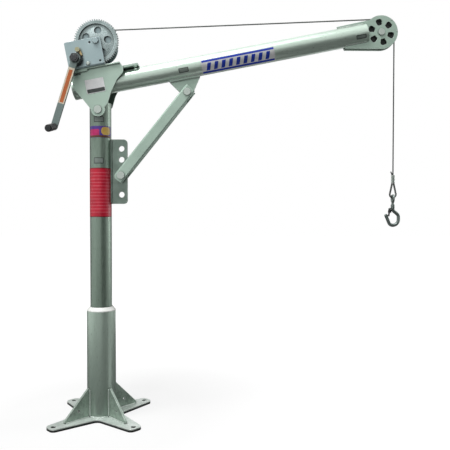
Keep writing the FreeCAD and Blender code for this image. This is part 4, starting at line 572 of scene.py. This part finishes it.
GRIP_R = 12.5
GRIP_BORE_R = 5.2
GRIP_FROM = 3.112
GRIP_TO = 65.112
GRIP_DROOP = math.radians(13)
GRIP_SIDES = 56
GRIP_ROUND = 3.0
GRIP_ROUND_STEPS = 5
GRIP_PLAIN_END = 6.0
GRIP_GROOVES = 9
GROOVE_DEEP = 1.1
GROOVE_W = 2.2
# Place across the groove and depth, as shares of its width and depth
GROOVE_SHAPE = ((-0.5, 0.0), (-0.32, 0.75), (0.0, 1.0), (0.32, 0.75), (0.5, 0.0))

end_r = GRIP_R - GRIP_ROUND
grip_profile = [(GRIP_FROM, GRIP_BORE_R), (GRIP_FROM, end_r)]
for k in range(1, GRIP_ROUND_STEPS + 1):
    bend = math.pi / 2 * k / GRIP_ROUND_STEPS
    along = GRIP_FROM + GRIP_ROUND - GRIP_ROUND * math.cos(bend)
    grip_profile.append((along, end_r + GRIP_ROUND * math.sin(bend)))
groove_pitch = (GRIP_TO - GRIP_FROM - 2 * GRIP_PLAIN_END) / GRIP_GROOVES
for k in range(GRIP_GROOVES):
    groove = GRIP_FROM + GRIP_PLAIN_END + groove_pitch * (k + 0.5)
    for place, depth in GROOVE_SHAPE:
        grip_profile.append((groove + place * GROOVE_W, GRIP_R - depth * GROOVE_DEEP))
for k in range(GRIP_ROUND_STEPS):
    bend = math.pi / 2 * k / GRIP_ROUND_STEPS
    along = GRIP_TO - GRIP_ROUND + GRIP_ROUND * math.sin(bend)
    grip_profile.append((along, end_r + GRIP_ROUND * math.cos(bend)))
grip_profile += [(GRIP_TO, end_r), (GRIP_TO, GRIP_BORE_R)]
grip_start = Vector((ARM_END[0], ARM_FRONT_Y, ARM_END[1]))
grip_axis = Vector((0, -math.cos(GRIP_DROOP), -math.sin(GRIP_DROOP)))
grip = new_piece("ribbed_grip", *lathe(grip_start, grip_axis, grip_profile, GRIP_SIDES), grip_black, "grip",
                 "black_grip")
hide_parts("crank_grip")

WASHER_SHARE = 0.62
WASHER_SINK = 0.5
WASHER_EDGE = 1.1
WASHER_T = 1.4
WASHER_BEVEL = 0.4
WASHER_SIDES = 32
WASHER_CENTRE_R = 0.3
SCREW_SINK = 1.2
SCREW_CHAMFER = 0.8


def hex_screw(u, v, across_flats, height):
    """A hex head with a chamfered rim on a round washer, on the front of the winch frame."""
    washer_r = WASHER_SHARE * across_flats
    washer_profile = [(-WASHER_SINK, WASHER_CENTRE_R), (-WASHER_SINK, washer_r), (WASHER_EDGE, washer_r),
                      (WASHER_T, washer_r - WASHER_BEVEL), (WASHER_T, WASHER_CENTRE_R)]
    washer = lathe(boom_point(u, v, FRAME_FRONT_Y), Vector((0, -1, 0)), washer_profile, WASHER_SIDES)
    corner_r = across_flats / math.sqrt(3)
    corners = [math.radians(60 * k) for k in range(6)]
    rings = []
    for depth, share in ((SCREW_SINK, 0.98), (WASHER_T, 1.0), (height - SCREW_CHAMFER, 1.0), (height, 0.86)):
        centre = boom_point(u, v, FRAME_FRONT_Y - depth)
        rings.append([centre + (AHEAD * math.cos(a) + SQUARE * math.sin(a)) * corner_r * share
                      for a in corners])
    return joined([washer, skin(rings)])


frame_screw = hex_screw(u=1.5, v=157.7, across_flats=11.0, height=7.0)
new_piece("frame_screw", *frame_screw, bright_steel, "boom", ZINC_SLOT, smooth=False)

# Weld beads: rippled fillets along the joints

BEAD_SIDES = 10
BEAD_RIPPLE = 2.6
BEAD_LOW = 0.86
BEAD_SWELL = 0.14
BEAD_END = 0.55
WELD_STEP = 0.65


def bead(points, radius):
    rings = []
    travelled = 0.0
    for i, (point, (normal, side)) in enumerate(zip(points, frames_along(points))):
        if i:
            travelled += (point - points[i - 1]).length
        phase = travelled / BEAD_RIPPLE % 1.0
        swell = radius * (BEAD_LOW + BEAD_SWELL * math.sin(math.pi * phase))
        if i in (0, len(points) - 1):
            swell *= BEAD_END
        ring = []
        for k in range(BEAD_SIDES):
            angle = 2 * math.pi * k / BEAD_SIDES
            ring.append(point + (normal * math.cos(angle) + side * math.sin(angle)) * swell)
        rings.append(ring)
    return skin(rings)


def straight_bead(start, end, radius):
    return bead(line_points(start, end, WELD_STEP), radius)


BRACE_HALF_T = 4.0
BRACE_TOP_Z = 110.0
BRACE_END_R = 145.0
UPRIGHT_BEAD_R = 3.6
UPRIGHT_BEAD_CLEAR = 3.0
UPRIGHT_BEAD_SINK = 0.4
FLAT_BEAD_R = 3.4
FLAT_BEAD_CLEAR = 4.0
RING_BEAD_R = 3.8
RING_BEAD_CLEAR = 7.5
base_beads = []
on_base = Vector((0, 0, BASE_T))
ring_gap = math.asin(RING_BEAD_CLEAR / SLEEVE_R)
ring_span = math.pi / 2 - 2 * ring_gap
ring_count = int(ring_span * SLEEVE_R / WELD_STEP)
for quarter in range(4):
    direction = math.radians(45 + 90 * quarter)
    radial = Vector((math.cos(direction), math.sin(direction), 0))
    across = Vector((-radial.y, radial.x, 0))
    for side in (-1, 1):
        beside = across * side * BRACE_HALF_T
        foot = radial * SLEEVE_R + beside + on_base
        below_top = Vector((0, 0, BRACE_TOP_Z - UPRIGHT_BEAD_CLEAR))
        base_beads.append(straight_bead(foot + Vector((0, 0, UPRIGHT_BEAD_CLEAR)),
                                        radial * (SLEEVE_R - UPRIGHT_BEAD_SINK) + beside + below_top,
                                        UPRIGHT_BEAD_R))
        base_beads.append(straight_bead(foot + radial * FLAT_BEAD_CLEAR,
                                        radial * BRACE_END_R + beside + on_base, FLAT_BEAD_R))
    ring = []
    for i in range(ring_count + 1):
        angle = direction + ring_gap + ring_span * i / ring_count
        ring.append(Vector((SLEEVE_R * math.cos(angle), SLEEVE_R * math.sin(angle), BASE_T)))
    base_beads.append(bead(ring, RING_BEAD_R))
new_piece("base_welds", *joined(base_beads), weld_steel, "base", "galvanised_steel")

# Where the beads of the sheave plates start, below and above the boom's axis
PLATE_TAIL_U = {-1: 899.0, 1: 884.0}
PLATE_OUT_Y = 15.3
BOOM_END_U = 977.0
PLATE_BEAD_R = 2.6
LUG_FROM_U = 263.6
LUG_TO_U = 371.6
LUG_PAD_HALF_W = 14.0
LUG_PAD_LOW_V = 53.5
LUG_HALF_T = 6.0
LUG_BEAD_R = 2.4
LUG_RING_STEPS = 20
boom_beads = []
for side in (-1, 1):
    for level in (-1, 1):
        v = BOOM_AXIS + level * math.sqrt(BOOM_R ** 2 - PLATE_OUT_Y ** 2)
        boom_beads.append(straight_bead(boom_point(PLATE_TAIL_U[level], v, side * PLATE_OUT_Y),
                                        boom_point(BOOM_END_U, v, side * PLATE_OUT_Y), PLATE_BEAD_R))
pad_v = BOOM_AXIS - math.sqrt(BOOM_R ** 2 - LUG_PAD_HALF_W ** 2)
for side in (-1, 1):
    for v, y in ((pad_v, LUG_PAD_HALF_W), (LUG_PAD_LOW_V, LUG_HALF_T)):
        boom_beads.append(straight_bead(boom_point(LUG_FROM_U, v, side * y),
                                        boom_point(LUG_TO_U, v, side * y), LUG_BEAD_R))
for u in (LUG_FROM_U, LUG_TO_U):
    ring = []
    for k in range(2 * LUG_RING_STEPS + 1):
        angle = math.asin(LUG_PAD_HALF_W / BOOM_R) * (k / LUG_RING_STEPS - 1)
        ring.append(boom_point(u, BOOM_AXIS - BOOM_R * math.cos(angle), BOOM_R * math.sin(angle)))
    boom_beads.append(bead(ring, LUG_BEAD_R))
new_piece("boom_welds", *joined(boom_beads), weld_steel, "boom", ZINC_SLOT)

# Films and plates on the surfaces

CORNER_STEPS = 5
ROW_H = 4.0
FILM_LIFT = 0.02
# Heights of the films that lie over each other
FIRST_FILM = 0.30
SECOND_FILM = 0.42
THIRD_FILM = 0.50


def sticker(name, place, width, height, corner, thick, mat, body, columns=24):
    """A thin plate with round corners. place(x, y, h) gives the point at x, y on its carrier, h off it."""
    half = height / 2
    levels = []
    for i in range(CORNER_STEPS + 1):
        levels.append(-half + corner - corner * math.cos(math.pi / 2 * i / CORNER_STEPS))
    middle = max(2, int(height / ROW_H))
    levels += [-half + corner + (height - 2 * corner) * i / middle for i in range(1, middle)]
    levels += [-y for y in reversed(levels[:CORNER_STEPS + 1])]
    top = []
    low = []
    for y in levels:
        deep = max(0.0, abs(y) - (half - corner))
        inset = corner - math.sqrt(max(0.0, corner ** 2 - deep ** 2))
        xs = [-width / 2 + inset + (width - 2 * inset) * j / columns for j in range(columns + 1)]
        top += [place(x, y, thick) for x in xs]
        low += [place(x, y, FILM_LIFT) for x in xs]
    row = columns + 1
    count = len(top)
    faces = []
    for i in range(len(levels) - 1):
        for j in range(columns):
            a = i * row + j
            faces.append((a, a + 1, a + row + 1, a + row))
            faces.append((a + count, a + count + row, a + count + row + 1, a + count + 1))
    rim = list(range(row))
    rim += [i * row + columns for i in range(1, len(levels))]
    rim += [(len(levels) - 1) * row + j for j in range(columns - 1, -1, -1)]
    rim += [i * row for i in range(len(levels) - 2, 0, -1)]
    for k, a in enumerate(rim):
        b = rim[(k + 1) % len(rim)]
        faces.append((b, a, a + count, b + count))
    new_piece(name, top + low, faces, mat, body, ZINC_SLOT, smooth=False)


# Each of these gives the place function for a sticker on one carrier


def on_mast(z, angle):
    def place(x, y, h):
        turn = math.radians(angle) + x / MAST_R
        return Vector(((MAST_R + h) * math.sin(turn), -(MAST_R + h) * math.cos(turn), z + y))
    return place


def on_boom(u, angle, slant=0.0):
    def place(x, y, h):
        turn = math.radians(angle) + y / BOOM_R
        return boom_point(u + (x + slant * y), BOOM_AXIS + (BOOM_R + h) * math.sin(turn),
                          -(BOOM_R + h) * math.cos(turn))
    return place


def on_cheek(u, v):
    def place(x, y, h):
        return boom_point(u + x, v + y, -CHEEK_OUT_Y - h)
    return place


arm_start = Vector((CRANK[0], 0, CRANK[1]))
arm_way = (Vector((ARM_END[0], 0, ARM_END[1])) - arm_start).normalized()
arm_side = Vector((-arm_way.z, 0, arm_way.x))


def on_arm(along):
    def place(x, y, h):
        return arm_start + arm_way * (along + y) + arm_side * x + Vector((0, ARM_FRONT_Y - h, 0))
    return place


TAG_RIM = 5.0


def tag(name, place, width, height, body):
    """A blank tag: a dark rim and a grey face."""
    sticker(name + "_rim", place, width, height, corner=2.5, thick=FIRST_FILM, mat=tag_dark, body=body)
    sticker(name + "_face", place, width - TAG_RIM, height - TAG_RIM, corner=1.2, thick=SECOND_FILM,
            mat=tag_grey, body=body)


tag("mast_tag_upper", on_mast(z=1060.6, angle=2.9), width=36.0, height=19.5, body="mast")
tag("mast_tag_lower", on_mast(z=916.0, angle=0.4), width=34.6, height=21.0, body="mast")
tag("boom_tag_near", on_boom(u=320.0, angle=-19.9), width=35.0, height=16.5, body="boom")
tag("boom_tag_far", on_boom(u=957.0, angle=-25.3), width=36.0, height=14.0, body="boom")

BAND_Z = 804.0
BAND_LINES = 13
BAND_PITCH = 11.6
sticker("mast_red_band_rim", on_mast(BAND_Z, angle=0.0), width=119.0, height=173.0, corner=2.0,
        thick=FIRST_FILM, mat=dark_red_film, body="mast", columns=60)
sticker("mast_red_band", on_mast(BAND_Z, angle=0.0), width=113.0, height=167.0, corner=2.0,
        thick=SECOND_FILM, mat=red_film, body="mast", columns=60)
for k in range(BAND_LINES):
    line_z = BAND_Z + BAND_PITCH * (k - (BAND_LINES - 1) / 2)
    sticker("mast_red_band_line_" + str(k + 1), on_mast(line_z, angle=0.0), width=98.0, height=3.4,
            corner=0.8, thick=THIRD_FILM, mat=pink_film, body="mast", columns=48)

BLOCK_Z = 1017.0
sticker("mast_blocks_base", on_mast(BLOCK_Z, angle=8.0), width=92.0, height=40.0, corner=2.0,
        thick=FIRST_FILM, mat=violet_film, body="mast", columns=48)
sticker("mast_block_red", on_mast(BLOCK_Z - 4.0, angle=-27.0), width=42.0, height=26.0, corner=4.0,
        thick=SECOND_FILM, mat=magenta_film, body="mast")
sticker("mast_block_yellow", on_mast(BLOCK_Z + 3.0, angle=42.0), width=36.0, height=28.0, corner=12.0,
        thick=SECOND_FILM, mat=yellow_film, body="mast")
sticker("mast_block_brown", on_mast(BLOCK_Z - 16.0, angle=8.0), width=88.0, height=6.5, corner=1.5,
        thick=THIRD_FILM, mat=brown_film, body="mast", columns=48)

DECAL_U = 515.0
DECAL_L = 262.0
DECAL_T = 0.25
DECAL_OVER_T = 0.36
STRIPE_L = DECAL_L - 4.0
BARS = 9
BAR_PITCH = 26.4
BAR_SLANT = 0.28
sticker("boom_decal", on_boom(DECAL_U, angle=-30.0), width=DECAL_L, height=55.0, corner=2.0,
        thick=DECAL_T, mat=white_film, body="boom", columns=80)
sticker("boom_decal_stripe_top", on_boom(DECAL_U, angle=6.0), width=STRIPE_L, height=7.5, corner=1.0,
        thick=DECAL_OVER_T, mat=blue_film, body="boom", columns=80)
sticker("boom_decal_stripe_low", on_boom(DECAL_U, angle=-62.0), width=STRIPE_L, height=9.5, corner=1.0,
        thick=DECAL_OVER_T, mat=blue_film, body="boom", columns=80)
for k in range(BARS):
    bar_u = DECAL_U + BAR_PITCH * (k - (BARS - 1) / 2)
    sticker("boom_decal_bar_" + str(k + 1), on_boom(bar_u, angle=-28.0, slant=BAR_SLANT), width=13.0,
            height=27.0, corner=1.5, thick=DECAL_OVER_T, mat=blue_film, body="boom", columns=6)

sticker("head_data_plate", on_cheek(u=7.0, v=82.5), width=66.0, height=49.0, corner=2.0, thick=0.6,
        mat=silver_film, body="boom")
sticker("head_data_plate_band", on_cheek(u=7.5, v=66.5), width=62.0, height=13.0, corner=1.0, thick=0.75,
        mat=tag_dark, body="boom")

sticker("arm_film", on_arm(along=97.5), width=22.4, height=127.0, corner=2.0, thick=0.35, mat=cream_film,
        body="crank", columns=8)
sticker("arm_film_band", on_arm(along=99.3), width=12.8, height=115.5, corner=1.0, thick=0.5,
        mat=orange_film, body="crank", columns=8)

# Stage, light and camera, in metres

FLOOR_HALF = 15.0
FLOOR_Z = -0.0004
FLOOR_COLOUR = (0.25, 0.25, 0.25, 1)
# Glow of the floor near the object and far from it, and where the change starts and ends
NEAR_GLOW = 0.74
FAR_GLOW = 1.0
GLOW_FROM = 0.35
GLOW_TO = 1.5
CARD_Z = 0.0005
WORLD_LIGHT = 0.1


def background_rays(tree):
    """One for the rays that see the pale background: from the camera, off gloss and through glass."""
    path = add(tree, "ShaderNodeLightPath")
    seen = path.outputs["Is Camera Ray"]
    for kind in ("Is Glossy Ray", "Is Transmission Ray"):
        either = add(tree, "ShaderNodeMath", operation="MAXIMUM")
        tree.links.new(seen, either.inputs[0])
        tree.links.new(path.outputs[kind], either.inputs[1])
        seen = either.outputs[0]
    return seen


def stage_material():
    mat, tree, _ = start_material("pale_floor")
    tree.nodes.clear()
    coords = add(tree, "ShaderNodeTexCoord")
    length = add(tree, "ShaderNodeVectorMath", operation="LENGTH")
    tree.links.new(coords.outputs["Object"], length.inputs[0])
    glow = spread(tree, length.outputs["Value"], NEAR_GLOW, FAR_GLOW, GLOW_FROM, GLOW_TO)
    strength = add(tree, "ShaderNodeMath", operation="MULTIPLY")
    tree.links.new(glow.outputs["Result"], strength.inputs[0])
    tree.links.new(background_rays(tree), strength.inputs[1])
    white = add(tree, "ShaderNodeEmission")
    tree.links.new(strength.outputs[0], white.inputs["Strength"])
    pale = add(tree, "ShaderNodeBsdfDiffuse")
    pale.inputs["Color"].default_value = FLOOR_COLOUR
    both = add(tree, "ShaderNodeAddShader")
    tree.links.new(pale.outputs[0], both.inputs[0])
    tree.links.new(white.outputs[0], both.inputs[1])
    last = add(tree, "ShaderNodeOutputMaterial")
    tree.links.new(both.outputs[0], last.inputs["Surface"])
    return mat


def flat_piece(name, corners, mat):
    """One flat face for the stage."""
    mesh = bpy.data.meshes.new(name)
    mesh.from_pydata(corners, [], [tuple(range(len(corners)))])
    mesh.materials.append(mat)
    piece = bpy.data.objects.new(name, mesh)
    bpy.context.scene.collection.objects.link(piece)
    return piece


FLOOR_CORNERS = ((-1, -1), (1, -1), (1, 1), (-1, 1))
floor = flat_piece("floor", [(x * FLOOR_HALF, y * FLOOR_HALF, FLOOR_Z) for x, y in FLOOR_CORNERS],
                   stage_material())

card_black, _, card_shader = start_material("dark_card")
card_shader.inputs["Base Color"].default_value = (0.03, 0.03, 0.03, 1)
card_shader.inputs["Roughness"].default_value = 0.9


def card(name, corners):
    """A dark card by the set, a photographer's flag: it hides some pale background from reflections alone."""
    flag = flat_piece(name, corners, card_black)
    flag.visible_camera = False
    flag.visible_diffuse = False
    flag.visible_transmission = False
    flag.visible_shadow = False


FLOOR_CARD = ((-1.4, -3.0), (0.95, -3.0), (0.95, -0.42), (0.1, -0.05), (0.95, 0.1), (0.95, 1.6), (-1.4, 1.6))
FLOOR_CARD_RIGHT = ((0.95, -3.0), (2.4, -3.0), (2.4, 1.6), (0.95, 1.6))
card("floor_card", [(x, y, CARD_Z) for x, y in FLOOR_CARD])
card("floor_card_right", [(x, y, CARD_Z) for x, y in FLOOR_CARD_RIGHT])
card("side_card", [(0.6, -2.7, 0.0), (2.4, -1.1, 0.0), (2.4, -1.1, 1.6), (0.6, -2.7, 1.6)])
card("low_back_card", [(0.0, 2.6, 0.0), (1.5, 2.6, 0.0), (1.5, 2.6, 1.3), (0.0, 2.6, 1.3)])
card("back_card", [(-2.2, 0.9, 0.0), (-0.3, 2.2, 0.0), (-0.3, 2.2, 1.5), (-2.2, 0.9, 1.5)])

world = bpy.data.worlds.new("studio")
bpy.context.scene.world = world
world.use_nodes = True
sky = world.node_tree
sky.nodes.clear()
sky_level = spread(sky, background_rays(sky), WORLD_LIGHT, 1.0, 0.0, 1.0)
background = add(sky, "ShaderNodeBackground")
background.inputs["Color"].default_value = (1, 1, 1, 1)
sky.links.new(sky_level.outputs["Result"], background.inputs["Strength"])
world_out = add(sky, "ShaderNodeOutputWorld")
sky.links.new(background.outputs[0], world_out.inputs["Surface"])


def lamp(name, place, aim, width, height, power, mirrored=True):
    data = bpy.data.lights.new(name, "AREA")
    data.shape = "RECTANGLE"
    data.size = width
    data.size_y = height
    data.energy = power
    lamp_object = bpy.data.objects.new(name, data)
    lamp_object.location = place
    lamp_object.rotation_euler = (Vector(aim) - Vector(place)).to_track_quat("-Z", "Y").to_euler()
    lamp_object.visible_glossy = mirrored
    bpy.context.scene.collection.objects.link(lamp_object)


lamp("overhead", place=(-0.95, -1.3, 4.85), aim=(0.35, 0.0, 0.8), width=2.4, height=2.0, power=215.0)
lamp("front_fill", place=(-0.9, -3.0, 1.0), aim=(0.2, 0.0, 0.8), width=1.6, height=1.6, power=18.0,
     mirrored=False)
lamp("left_strip", place=(-1.9, -1.2, 0.8), aim=(0.0, 0.0, 0.8), width=0.5, height=1.9, power=1.5)
lamp("right_rim", place=(2.6, 0.9, 1.2), aim=(0.2, 0.0, 0.8), width=0.7, height=2.0, power=18.0)

LENS = 44.8
SENSOR_W = 36.0
CLIP_END = 60.0
YAW = math.radians(0.532)
PITCH = math.radians(-1.312)
ROLL = math.radians(0.051)
CAMERA_AT = Vector((0.4260, -2.0120, 0.7348))
camera_data = bpy.data.cameras.new("camera")
camera_data.sensor_fit = "HORIZONTAL"
camera_data.sensor_width = SENSOR_W
camera_data.lens = LENS
camera_data.clip_end = CLIP_END
camera = bpy.data.objects.new("camera", camera_data)
bpy.context.scene.collection.objects.link(camera)
view = Vector((math.sin(YAW) * math.cos(PITCH), math.cos(YAW) * math.cos(PITCH), math.sin(PITCH)))
level_right = view.cross(Vector((0, 0, 1))).normalized()
level_up = level_right.cross(view)
right = level_right * math.cos(ROLL) + level_up * math.sin(ROLL)
up = level_up * math.cos(ROLL) - level_right * math.sin(ROLL)
camera_turn = Matrix((right, up, -view)).transposed()
camera.matrix_world = Matrix.Translation(CAMERA_AT) @ camera_turn.to_4x4()
bpy.context.scene.camera = camera
bpy.context.scene.view_settings.view_transform = "Standard"
